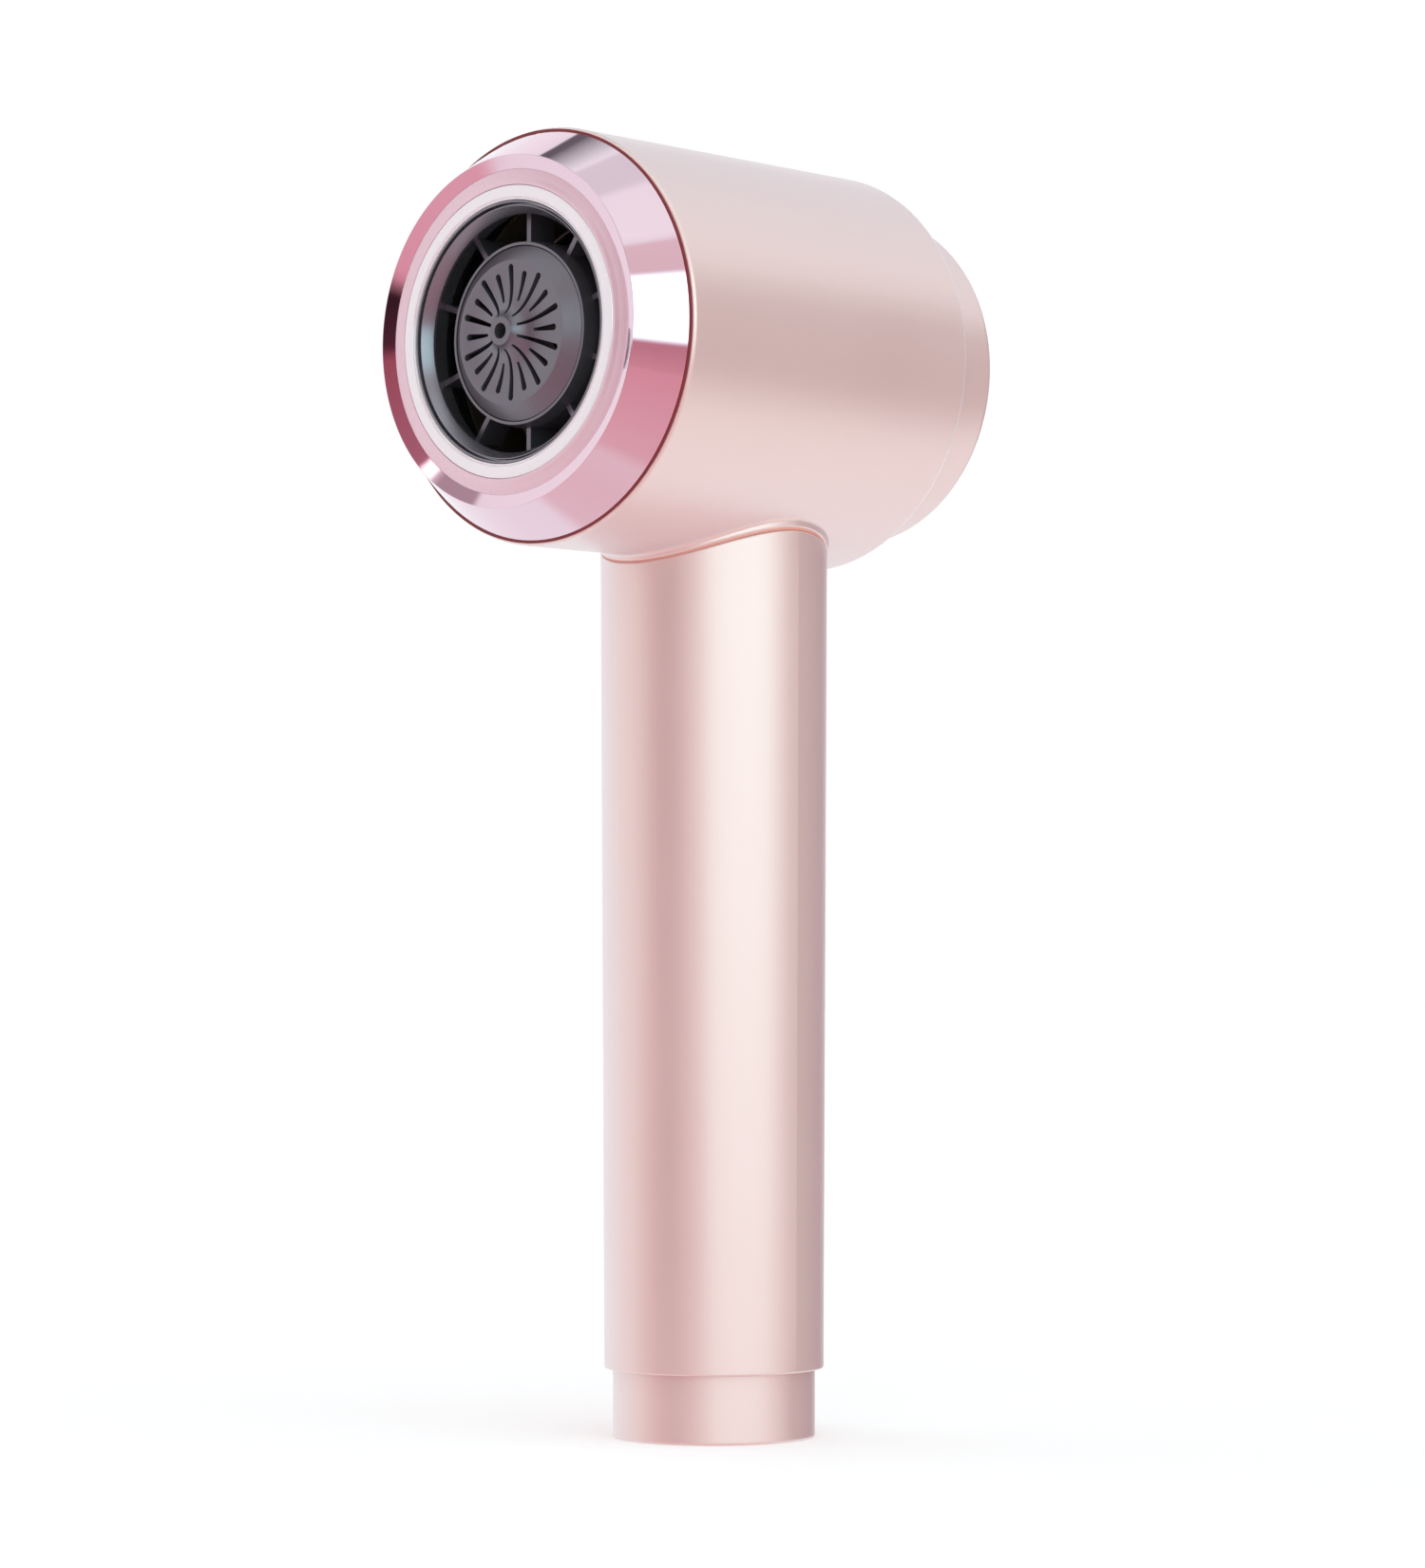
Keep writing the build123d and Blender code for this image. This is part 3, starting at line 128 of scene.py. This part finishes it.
# ------------------------------------------------------------------------- studio light
# The light comes from an even studio surround with soft panels in it. Each panel is
# (azimuth to the right of the camera, half width, side edge, lowest and highest
# elevation, top and bottom edge, colour at the bottom, colour at the top), in degrees.
# A later panel covers an earlier one.
CAMERA_AZIMUTH = math.degrees(CAMERA_TURN)
SURROUND = [
    # even wall behind the object, cooler than the pink ground in front of it
    (-140.0, 50.0, 30.0, -70.0, 50.0, 15.0, (0.97, 1.06, 1.09), (1.03, 1.09, 1.11)),
    # pink-tinted ground in front, palest straight below
    (-2.0, 76.0, 30.0, -90.0, -18.0, 6.0, (0.87, 0.67, 0.71), (0.79, 0.41, 0.475)),
    (-2.0, 76.0, 30.0, -20.0, 0.0, 3.0, (0.74, 0.39, 0.45), (0.50, 0.225, 0.285)),
    (-64.0, 20.0, 10.0, -50.0, -7.0, 4.0, (0.88, 0.66, 0.72), (0.83, 0.44, 0.53)),
    # pale pink straight below the object
    (0.0, 200.0, 10.0, -90.0, -66.0, 10.0, (0.88, 0.73, 0.77), (0.89, 0.78, 0.81)),
    # overhead silk, dimmer straight above, with a gap between it and the key
    (0.0, 200.0, 10.0, 76.0, 90.0, 8.0, (0.86, 0.97, 0.99), (0.82, 0.92, 0.94)),
    (30.0, 60.0, 30.0, 48.0, 78.0, 6.0, (1.05, 1.20, 1.20), (1.02, 1.17, 1.17)),
    (145.0, 35.0, 25.0, 28.0, 60.0, 14.0, (0.76, 0.72, 0.75), (0.76, 0.74, 0.77)),
    (28.0, 60.0, 20.0, 28.0, 46.0, 3.0, (0.84, 0.74, 0.76), (0.86, 0.78, 0.80)),
    # the ceiling behind the object: a dark seam, brightening upwards from its middle
    (180.0, 40.0, 10.0, 53.0, 76.0, 2.0, (0.15, 0.16, 0.18), (0.15, 0.16, 0.18)),
    (180.0, 40.0, 10.0, 58.0, 78.0, 4.0, (0.16, 0.17, 0.19), (1.05, 1.25, 1.25)),
    # shaded wall at the left, a black flag low in it, and a strip light at its end
    (-50.0, 20.0, 8.0, 0.0, 42.0, 4.0, (0.34, 0.07, 0.11), (0.47, 0.22, 0.275)),
    (-46.0, 12.0, 4.0, -5.0, 9.0, 4.0, (0.03, 0.012, 0.02), (0.09, 0.03, 0.045)),
    (-80.0, 9.0, 3.0, 20.0, 50.0, 4.0, (0.48, 0.40, 0.44), (0.48, 0.40, 0.44)),
    (-67.0, 2.3, 2.5, 24.0, 42.0, 3.0, (2.2, 2.2, 2.2), (2.2, 2.2, 2.2)),
    # dark gap at the right
    (120.0, 36.0, 16.0, -17.0, 24.0, 10.0, (0.25, 0.05, 0.06), (0.25, 0.05, 0.06)),
    # key softbox
    (28.0, 36.0, 4.0, -4.5, 29.0, 4.0, (1.56, 2.28, 2.32), (1.56, 2.28, 2.32)),
]
SKY_LOW = (1.0, 0.97, 0.98)
SKY_HORIZON = (0.95, 0.99, 1.01)
SKY_HIGH = (0.96, 1.08, 1.08)
SKY_HIGH_ELEVATION = 60.0       # degrees, where the colour has become SKY_HIGH
OPEN_LIMIT = 90.0               # degrees: a panel that reaches this far has no edge there
BACKDROP_STRENGTH = 1.02        # the white that only the camera sees


def build_world():
    """The surround lights the object, and the camera sees plain white in its place."""
    world = bpy.data.worlds.new("studio")
    scene.world = world
    world.use_nodes = True
    g = Graph(world.node_tree)
    ray = g.node("ShaderNodeTexCoord").outputs["Generated"]
    split = g.node("ShaderNodeSeparateXYZ")
    g.put(ray, split.inputs[0])
    elevation = g.math("ARCSINE", split.outputs["Z"])
    low = g.remap(elevation, math.radians(-OPEN_LIMIT), 0.0)
    high = g.remap(elevation, 0.0, math.radians(SKY_HIGH_ELEVATION))
    colour = g.mix(low, rgba(*SKY_LOW), rgba(*SKY_HORIZON))
    colour = g.mix(high, colour, rgba(*SKY_HIGH))
    for azimuth, half_w, side_edge, bottom, top, edge, tint_low, tint_high in SURROUND:
        turn = g.node("ShaderNodeVectorRotate", rotation_type="Z_AXIS")
        g.put(ray, turn.inputs["Vector"])
        turn.inputs["Angle"].default_value = -math.radians(CAMERA_AZIMUTH + azimuth)
        part = g.node("ShaderNodeSeparateXYZ")
        g.put(turn.outputs[0], part.inputs[0])
        side = g.math("ARCTAN2", part.outputs["X"], g.math("MULTIPLY", part.outputs["Y"], -1.0))
        mask = g.remap(g.math("ABSOLUTE", side), math.radians(half_w - side_edge / 2),
                       math.radians(half_w + side_edge / 2), 1.0, 0.0)
        for limit, way in ((bottom, 1.0), (top, -1.0)):
            if abs(limit) < OPEN_LIMIT:
                rise = g.math("MULTIPLY", g.math("SUBTRACT", elevation, math.radians(limit)), way)
                mask = g.math("MULTIPLY", mask, g.remap(
                    rise, -math.radians(edge / 2), math.radians(edge / 2)))
        share = g.remap(elevation, math.radians(bottom), math.radians(top), smooth=False)
        colour = g.mix(mask, colour, g.mix(share, rgba(*tint_low), rgba(*tint_high)))
    light = g.node("ShaderNodeBackground")
    g.put(colour, light.inputs["Color"])
    white = g.node("ShaderNodeBackground")
    white.inputs["Color"].default_value = rgba(1.0, 1.0, 1.0)
    white.inputs["Strength"].default_value = BACKDROP_STRENGTH
    chosen = g.node("ShaderNodeMixShader")
    g.put(g.node("ShaderNodeLightPath").outputs["Is Camera Ray"], chosen.inputs[0])
    g.tree.links.new(light.outputs[0], chosen.inputs[1])
    g.tree.links.new(white.outputs[0], chosen.inputs[2])
    out = g.node("ShaderNodeOutputWorld")
    g.tree.links.new(chosen.outputs[0], out.inputs["Surface"])


build_world()


# ---------------------------------------------------------------------------- materials
PATCH_SHARE, GRAIN_SHARE = 0.7, 0.3     # of the variation between the two base colours
SECOND_GAIN = 1.12                      # how much lighter the second colour is by default
# The edge colour is a painted sheen: the surface turns paler where it is seen at a low angle.
PAINTED_SHEEN_FACING = (0.2, 0.8)                # where the edge colour starts and is complete
UNEVEN_GLOSS = (0.3, 0.7)               # patch values with the least and most roughness
BUMP_DEPTH = 0.0001


def add_bump(g, height, strength, shader):
    relief = g.node("ShaderNodeBump")
    relief.inputs["Strength"].default_value = strength
    relief.inputs["Distance"].default_value = BUMP_DEPTH
    g.put(height, relief.inputs["Height"])
    g.put(relief.outputs[0], shader.inputs["Normal"])


def add_output(g, shader):
    out = g.node("ShaderNodeOutputMaterial")
    g.tree.links.new(shader.outputs[0], out.inputs["Surface"])


def finish_material(name, base, rough, metallic=0.0, second=None, patch=60.0, patch_gain=0.25,
                    grain=2500.0, bump=0.02, rough_gain=0.06, coat=0.0, coat_rough=0.1,
                    specular=0.5, glow=0.0, edge=None):
    """A moulded or plated surface: soft colour patches, fine grain and uneven gloss.

    With an edge colour, the surface turns towards it where it is seen at a low angle: a painted
    sheen."""
    material = bpy.data.materials.new(name)
    material.use_nodes = True
    g = Graph(material.node_tree)
    where = g.node("ShaderNodeTexCoord").outputs["Object"]
    soft = g.noise(where, patch, detail=3.0)
    fine = g.noise(where, grain, detail=2.0, roughness=0.6)
    second = second or tuple(min(1.0, c * SECOND_GAIN) for c in base)
    variation = g.math("ADD", g.math("MULTIPLY", soft, PATCH_SHARE),
                       g.math("MULTIPLY", fine, GRAIN_SHARE))
    blend = g.remap(variation, 0.5 - patch_gain, 0.5 + patch_gain, smooth=False)
    shader = g.node("ShaderNodeBsdfPrincipled")
    colour = g.mix(blend, rgba(*base), rgba(*second))
    if edge:
        # Painted sheen: the base colour turns towards the edge colour at low angles, standing in
        # for the paler reflection there.
        facing = g.node("ShaderNodeLayerWeight").outputs["Facing"]
        colour = g.mix(g.remap(facing, *PAINTED_SHEEN_FACING), colour, rgba(*edge))
    g.put(colour, shader.inputs["Base Color"])
    shader.inputs["Metallic"].default_value = metallic
    g.put(g.remap(soft, *UNEVEN_GLOSS, rough - rough_gain, rough + rough_gain, smooth=False),
          shader.inputs["Roughness"])
    shader.inputs["Specular IOR Level"].default_value = specular
    shader.inputs["Coat Weight"].default_value = coat
    shader.inputs["Coat Roughness"].default_value = coat_rough
    if glow:
        shader.inputs["Emission Color"].default_value = rgba(1.0, 1.0, 1.0)
        shader.inputs["Emission Strength"].default_value = glow
    if bump:
        add_bump(g, fine, bump, shader)
    add_output(g, shader)
    return material


MATERIALS = {
    # The rose satin's edge colour is a painted sheen, paler where the paint is seen at a low
    # angle.
    "rose_satin": finish_material("rose_satin", (0.845, 0.60, 0.56), 0.37, 0.5,
                                  second=(0.87, 0.635, 0.595), patch=25.0, grain=4500.0,
                                  bump=0.05, rough_gain=0.015, coat=0.4, coat_rough=0.35,
                                  edge=(0.86, 0.70, 0.705)),
    "rose_chrome": finish_material("rose_chrome", (0.80, 0.56, 0.635), 0.05, 1.0,
                                   second=(0.82, 0.585, 0.66), patch=18.0, grain=900.0,
                                   bump=0.0, rough_gain=0.012),
    "rose_face": finish_material("rose_face", (0.79, 0.52, 0.585), 0.3, 0.35,
                                 second=(0.81, 0.55, 0.61), grain=4000.0, bump=0.03, coat=0.3),
    "pearl": finish_material("pearl", (0.86, 0.75, 0.77), 0.24, 0.3, second=(0.88, 0.78, 0.80),
                             grain=4000.0, bump=0.02, coat=0.4),
    # seal_red's near-black red is painted shade, standing in for the shadow gap between the front
    # ring and the barrel.
    "seal_red": finish_material("seal_red", (0.20, 0.012, 0.018), 0.5, bump=0.1),
    "seal_coral": finish_material("seal_coral", (0.74, 0.29, 0.23), 0.45, bump=0.08),
    "gunmetal": finish_material("gunmetal", (0.185, 0.160, 0.185), 0.36, 0.75,
                                second=(0.215, 0.190, 0.215), grain=3500.0, bump=0.06),
    "black_plastic": finish_material("black_plastic", (0.012, 0.012, 0.013), 0.55, bump=0.15),
    "panel": finish_material("panel", (0.045, 0.042, 0.05), 0.42, bump=0.12),
    "button_grey": finish_material("button_grey", (0.30, 0.30, 0.32), 0.4, bump=0.1),
    "button_rose": finish_material("button_rose", (0.66, 0.34, 0.36), 0.3, bump=0.05, coat=0.3),
    "steel": finish_material("steel", (0.60, 0.60, 0.61), 0.25, 1.0, grain=1500.0),
    "magnet": finish_material("magnet", (0.2, 0.2, 0.21), 0.35, 0.8),
    "copper": finish_material("copper", (0.65, 0.26, 0.12), 0.3, 0.9),
    "heater_wire": finish_material("heater_wire", (0.36, 0.33, 0.31), 0.4, 0.9),
    # The mica's near-black colour is painted shade: it darkens the heater seen through the outlet
    # to the black of the gap.
    "mica": finish_material("mica", (0.08, 0.066, 0.045), 0.6, 0.0, patch=300.0),
    "circuit_board": finish_material("circuit_board", (0.02, 0.14, 0.06), 0.35, coat=0.3),
    "heatsink": finish_material("heatsink", (0.6, 0.6, 0.62), 0.35, 1.0),
    "rubber": finish_material("rubber", (0.02, 0.02, 0.022), 0.6, bump=0.2),
    "lens": finish_material("lens", (0.75, 0.76, 0.8), 0.12, 0.0, coat=0.5),
    "fuse_body": finish_material("fuse_body", (0.75, 0.70, 0.62), 0.3),
}


WIRE_PITCH = 0.0006
WIRE_EDGE = (0.82, 0.92)        # of the weave's height: where an opening turns into wire
WIRE_ROUGH, OPENING_ROUGH = 0.45, 0.9
WIRE_METALLIC = 0.8
WIRE_SPECULAR = 0.2
WIRE_BUMP = 0.5


def woven_wire():
    """Fine steel wires crossing at right angles, with dark openings between them."""
    material = bpy.data.materials.new("woven_wire")
    material.use_nodes = True
    g = Graph(material.node_tree)
    where = g.node("ShaderNodeSeparateXYZ")
    g.put(g.node("ShaderNodeTexCoord").outputs["Object"], where.inputs[0])
    wires = []
    for axis in ("X", "Z"):
        phase = g.math("MULTIPLY", where.outputs[axis], math.pi / WIRE_PITCH)
        wires.append(g.math("ABSOLUTE", g.math("SINE", phase)))
    weave = g.math("MAXIMUM", *wires)
    shader = g.node("ShaderNodeBsdfPrincipled")
    wire = g.remap(weave, *WIRE_EDGE)
    g.put(g.mix(wire, rgba(0.006, 0.006, 0.007), rgba(0.22, 0.22, 0.23)),
          shader.inputs["Base Color"])
    g.put(g.remap(wire, 0.0, 1.0, OPENING_ROUGH, WIRE_ROUGH), shader.inputs["Roughness"])
    g.put(g.math("MULTIPLY", wire, WIRE_METALLIC), shader.inputs["Metallic"])
    shader.inputs["Specular IOR Level"].default_value = WIRE_SPECULAR
    add_bump(g, weave, WIRE_BUMP, shader)
    add_output(g, shader)
    return material


NODE_MATERIAL = {"filter_mesh": woven_wire()}
for node_name, node_object in NODES.items():
    node_object.data.materials.clear()
    node_object.data.materials.append(
        NODE_MATERIAL.get(node_name) or MATERIALS[NODE_SLOT[node_name]])

# ------------------------------------------------------------------------- piece helpers
MM = 0.001                      # from here on, lengths are millimetres until this scales them
HEAD_HEIGHT = 195.5             # of the barrel's axis, which runs along Y
LATHE_STEPS = 360
MERGE_DISTANCE = 1e-7           # metres
CORNER_SHARE = 0.45             # a rounded corner takes at most this much of a side


def add_piece(name, data, slot_name, body, node=None):
    """A piece on a body, standing for a CAD node if one is named."""
    piece = bpy.data.objects.new(name, data)
    scene.collection.objects.link(piece)
    data.materials.append(MATERIALS[slot_name])
    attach(piece, body)
    if node:
        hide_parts(node)
    return piece


def mesh_data(name, mesh, smooth=True):
    """The mesh, cleaned and facing outwards, as Blender data."""
    bmesh.ops.remove_doubles(mesh, verts=mesh.verts, dist=MERGE_DISTANCE)
    bmesh.ops.recalc_face_normals(mesh, faces=mesh.faces)
    for face in mesh.faces:
        face.smooth = smooth
    data = bpy.data.meshes.new(name)
    mesh.to_mesh(data)
    mesh.free()
    return data


def rounded(outline, radius, steps=4):
    """The closed outline with each corner, except those on the axis, turned into a curve."""
    result = []
    for i, corner in enumerate(outline):
        here = Vector(corner)
        if here.y == 0.0:
            result.append(here)
            continue
        ends = []
        for other in (outline[i - 1], outline[(i + 1) % len(outline)]):
            away = Vector(other) - here
            ends.append(here + away.normalized() * min(radius, away.length * CORNER_SHARE))
        for k in range(steps + 1):
            t = k / steps
            result.append(ends[0] * (1 - t) ** 2 + here * 2 * t * (1 - t) + ends[1] * t ** 2)
    return result


def turned(name, node, outline, corner, body="dryer", height=HEAD_HEIGHT, slot_name=None):
    """A piece turned from (y, radius) points about a line along Y at this height."""
    ring = rounded(outline, corner)
    mesh = bmesh.new()
    rows = []
    for k in range(LATHE_STEPS):
        angle = 2 * math.pi * k / LATHE_STEPS
        rows.append([mesh.verts.new((r * math.cos(angle) * MM, y * MM,
                                     (height + r * math.sin(angle)) * MM)) for y, r in ring])
    for k in range(LATHE_STEPS):
        near, far = rows[k], rows[(k + 1) % LATHE_STEPS]
        for i in range(len(ring)):
            j = (i + 1) % len(ring)
            if ring[i].y == 0.0 and ring[j].y == 0.0:
                continue
            if ring[i].y == 0.0:
                mesh.faces.new((near[i], near[j], far[j]))
                far[i].co = near[i].co
            elif ring[j].y == 0.0:
                mesh.faces.new((near[i], near[j], far[i]))
            else:
                mesh.faces.new((near[i], near[j], far[j], far[i]))
    return add_piece(name, mesh_data(name, mesh), slot_name or NODE_SLOT[node], body, node)


def rounded_rectangle(half_x, half_z, radius, steps=8):
    """The (x, z) points of a rectangle with rounded corners."""
    points = []
    for quarter, (sx, sz) in enumerate(((1, 1), (-1, 1), (-1, -1), (1, -1))):
        for k in range(steps + 1):
            angle = math.pi / 2 * (quarter + k / steps)
            points.append((sx * (half_x - radius) + radius * math.cos(angle),
                           sz * (half_z - radius) + radius * math.sin(angle)))
    return points


def stacked(name, node, levels, body, height):
    """A closed piece through rounded rectangles: (y, half width, half height, corner)."""
    mesh = bmesh.new()
    rows = []
    for y, half_x, half_z, radius in levels:
        rows.append([mesh.verts.new((x * MM, y * MM, (height + z) * MM))
                     for x, z in rounded_rectangle(half_x, half_z, radius)])
    for near, far in zip(rows, rows[1:]):
        for i in range(len(near)):
            j = (i + 1) % len(near)
            mesh.faces.new((near[i], near[j], far[j], far[i]))
    mesh.faces.new(rows[0])
    mesh.faces.new(rows[-1])
    return add_piece(name, mesh_data(name, mesh, smooth=False), NODE_SLOT[node], body, node)


def strokes(name, lines, thickness, slot_name, body):
    """Raised marks: each line of (x, y, z) points becomes a thin round bar."""
    data = bpy.data.curves.new(name, "CURVE")
    data.dimensions = "3D"
    data.bevel_depth = thickness / 2 * MM
    data.bevel_resolution = 3
    data.use_fill_caps = True
    for line in lines:
        spline = data.splines.new("POLY")
        spline.points.add(len(line) - 1)
        for point, (x, y, z) in zip(spline.points, line):
            point.co = (x * MM, y * MM, z * MM, 1.0)
    return add_piece(name, data, slot_name, body)


# --------------------------------------------------------------------------- front rings
# The dark red seal bead fills the step between the front ring and the barrel; its near-black red
# is painted shade for the shadow gap there.
turned("front_seal_shade_bead", "front_seal",
       [(-45.5, 34.7), (-45.5, 36.4), (-45.0, 36.4), (-45.0, 34.7)], 0.12)

# The pink face domes slightly towards a pale step, which the nozzle seat stands in.
turned("outlet_face", "nozzle_carrier",
       [(-53.03, 28.5), (-53.25, 26.9), (-53.5, 26.1), (-53.5, 25.7), (-52.9, 25.7),
        (-49.4, 26.6), (-49.4, 23.0), (-47.9, 23.0), (-47.9, 31.3), (-49.4, 31.3),
        (-49.4, 28.5)], 0.1)

# The nozzle seat: rounded rim, flat face, a fine turned groove and a rolled inner edge.
turned("nozzle_seat_ring", "seat_ring",
       [(-53.3, 25.68), (-53.58, 25.5), (-53.6, 23.6), (-53.42, 23.52), (-53.42, 23.38),
        (-53.58, 23.3), (-53.5, 23.1), (-53.1, 23.02), (-51.2, 23.02), (-51.2, 25.68)], 0.06)

# The funnel's own lip lies against the seat, with a dark groove turned inside it. Its
# flared wall is smoother and lighter than the cast hub.
funnel = turned(
    "funnel_lip", "outlet_funnel",
    [(-53.05, 23.0), (-53.3, 22.9), (-53.3, 22.62), (-52.0, 22.55), (-52.0, 22.25),
     (-52.9, 22.2), (-52.9, 22.05), (-50.9, 20.9), (-50.3, 20.9), (-49.8, 22.2),
     (-46.5, 22.2), (-41.0, 26.4), (-41.0, 28.0), (-45.8, 24.2), (-45.8, 31.2),
     (-47.8, 31.2), (-47.8, 22.95), (-51.0, 22.95)], 0.05)
funnel.data.materials[0] = finish_material(
    "gunmetal_smooth", (0.27, 0.24, 0.27), 0.28, 0.85, second=(0.30, 0.27, 0.30),
    grain=3500.0, bump=0.04)

# A fine pale bead round the barrel's rear rim is a painted highlight: it stands in for the light
# caught on the rim's rounded edge.
turned("rear_rim_highlight_bead", None,
       [(27.3, 36.5), (27.4, 36.79), (27.75, 36.76), (27.97, 36.5), (27.9, 36.2),
        (27.5, 36.2)], 0.12, slot_name="pearl")

# ------------------------------------------------------------------------------ controls
PANEL_R = 19.9                  # the panel's round face, about the handle's axis
SLIDE_Z = 122.0                 # the slider's middle at rest
SLIDE_TRAVEL = 8.0
RIB_Y = 22.05
RIB_HALF_WIDTH = 2.3
RIB_PITCH = 1.5
RIB_THICKNESS = 0.7
BUTTONS = (("heat_button", 102.0), ("cool_button", 87.0))
BUTTON_DISH_Y = 20.42
MARK_THICKNESS = 0.32
WAVE_PLACES = (-1.2, 0.0, 1.2)
WAVE_HEIGHT = 2.8
STAR_ANGLES = (30, 90, 150)     # degrees
STAR_RADIUS = 1.7
BAR_ENDS = (5.2, 6.8)           # in x, beside the slider's path
BAR_PITCH = 0.8

stacked("slider_knob", "power_slider",
        [(14.6, 4.5, 3.75, 0.3), (15.9, 4.5, 3.75, 0.3), (15.9, 2.3, 2.5, 0.3),
         (20.4, 2.3, 2.5, 0.3), (20.4, 3.8, 5.05, 1.9), (20.6, 4.0, 5.25, 2.0),
         (21.7, 4.0, 5.25, 2.0), (22.0, 3.85, 5.1, 1.9), (22.15, 3.5, 4.75, 1.6),
         (22.1, 3.1, 4.35, 1.3), (21.95, 2.9, 4.15, 1.2)],
        "power_slider", SLIDE_Z)
strokes("slider_ribs",
        [[(side * RIB_HALF_WIDTH, RIB_Y, SLIDE_Z + k * RIB_PITCH) for side in (-1, 1)]
         for k in range(-2, 3)],
        RIB_THICKNESS, NODE_SLOT["power_slider"], "power_slider")

for button_name, button_z in BUTTONS:
    turned(button_name + "_dished", button_name,
           [(14.4, 0.0), (14.4, 5.5), (15.7, 5.5), (15.7, 4.6), (20.9, 4.6), (20.9, 3.75),
            (BUTTON_DISH_Y, 2.9), (BUTTON_DISH_Y, 0.0)], 0.4, button_name, button_z)


# Return springs: three turns of wire between the circuit board and each button.
SPRING_START_Y = 10.1
SPRING_LENGTH = 3.9
SPRING_RADIUS = 4.0
SPRING_WIRE = 0.25
SPRING_TURNS = 3


def coil_spring(name, node, body, height, turn_steps=48, wire_steps=10):
    """A round wire wound about a line along Y, with closed ends."""
    mesh = bmesh.new()
    rows = []
    for k in range(SPRING_TURNS * turn_steps + 1):
        angle = 2 * math.pi * k / turn_steps
        outward = Vector((math.cos(angle), 0.0, math.sin(angle)))
        middle = outward * SPRING_RADIUS + Vector(
            (0.0, SPRING_START_Y + SPRING_LENGTH * k / (SPRING_TURNS * turn_steps), height))
        row = []
        for i in range(wire_steps):
            around = 2 * math.pi * i / wire_steps
            point = middle + outward * SPRING_WIRE * math.cos(around)
            point.y += SPRING_WIRE * math.sin(around)
            row.append(mesh.verts.new(point * MM))
        rows.append(row)
    for near, far in zip(rows, rows[1:]):
        for i in range(wire_steps):
            j = (i + 1) % wire_steps
            mesh.faces.new((near[i], near[j], far[j], far[i]))
    mesh.faces.new(rows[0])
    mesh.faces.new(rows[-1])
    piece = add_piece(name, mesh_data(name, mesh), NODE_SLOT[node], body, node)
    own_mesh(piece)


coil_spring("heat_return_spring", "heat_spring", "dryer", BUTTONS[0][1])
coil_spring("cool_return_spring", "cool_spring", "dryer", BUTTONS[1][1])


def wave(x, z, height, sway=0.32, steps=12):
    """An upright wavy line, for the warm-air mark."""
    return [(x + sway * math.sin(2 * math.pi * k / steps), BUTTON_DISH_Y,
             z + height * (k / steps - 0.5)) for k in range(steps + 1)]


def spoke(z, angle, radius):
    """A straight line across the middle of a button, for the cool-air mark."""
    dx, dz = radius * math.cos(angle), radius * math.sin(angle)
    return [(-dx, BUTTON_DISH_Y, z - dz), (dx, BUTTON_DISH_Y, z + dz)]


strokes("warm_air_mark", [wave(x, BUTTONS[0][1], WAVE_HEIGHT) for x in WAVE_PLACES],
        MARK_THICKNESS, "pearl", "heat_button")
strokes("cool_air_mark",
        [spoke(BUTTONS[1][1], math.radians(angle), STAR_RADIUS) for angle in STAR_ANGLES],
        MARK_THICKNESS, "pearl", "cool_button")


def panel_bar(z, low_x, high_x, steps=6):
    """A short mark that follows the panel's round face."""
    places = [low_x + (high_x - low_x) * k / steps for k in range(steps + 1)]
    return [(x, math.sqrt(PANEL_R ** 2 - x ** 2), z) for x in places]


# One, two and three short bars mark the start, middle and end of the slider's path.
speed_bars = []
for count in (1, 2, 3):
    middle = SLIDE_Z + SLIDE_TRAVEL * (count - 1) / 2
    for k in range(count):
        speed_bars.append(panel_bar(middle + BAR_PITCH * (k - (count - 1) / 2), *BAR_ENDS))
strokes("speed_marks", speed_bars, MARK_THICKNESS, "pearl", "dryer")

# -------------------------------------------------------------------------------- floor
FLOOR_HALF = 6.0                # metres
FLOOR_GLOW = 0.17
floor_mesh = bpy.data.meshes.new("floor")
floor_mesh.from_pydata(
    [(x * FLOOR_HALF, y * FLOOR_HALF, 0.0) for x, y in ((-1, -1), (1, -1), (1, 1), (-1, 1))],
    [], [(0, 1, 2, 3)])
floor = bpy.data.objects.new("floor", floor_mesh)
scene.collection.objects.link(floor)
floor.data.materials.append(
    finish_material("floor", (0.96, 0.92, 0.915), 0.8, second=(0.97, 0.93, 0.925), patch=3.0,
                    grain=40.0, bump=0.0, specular=0.1, glow=FLOOR_GLOW))
floor.visible_glossy = False
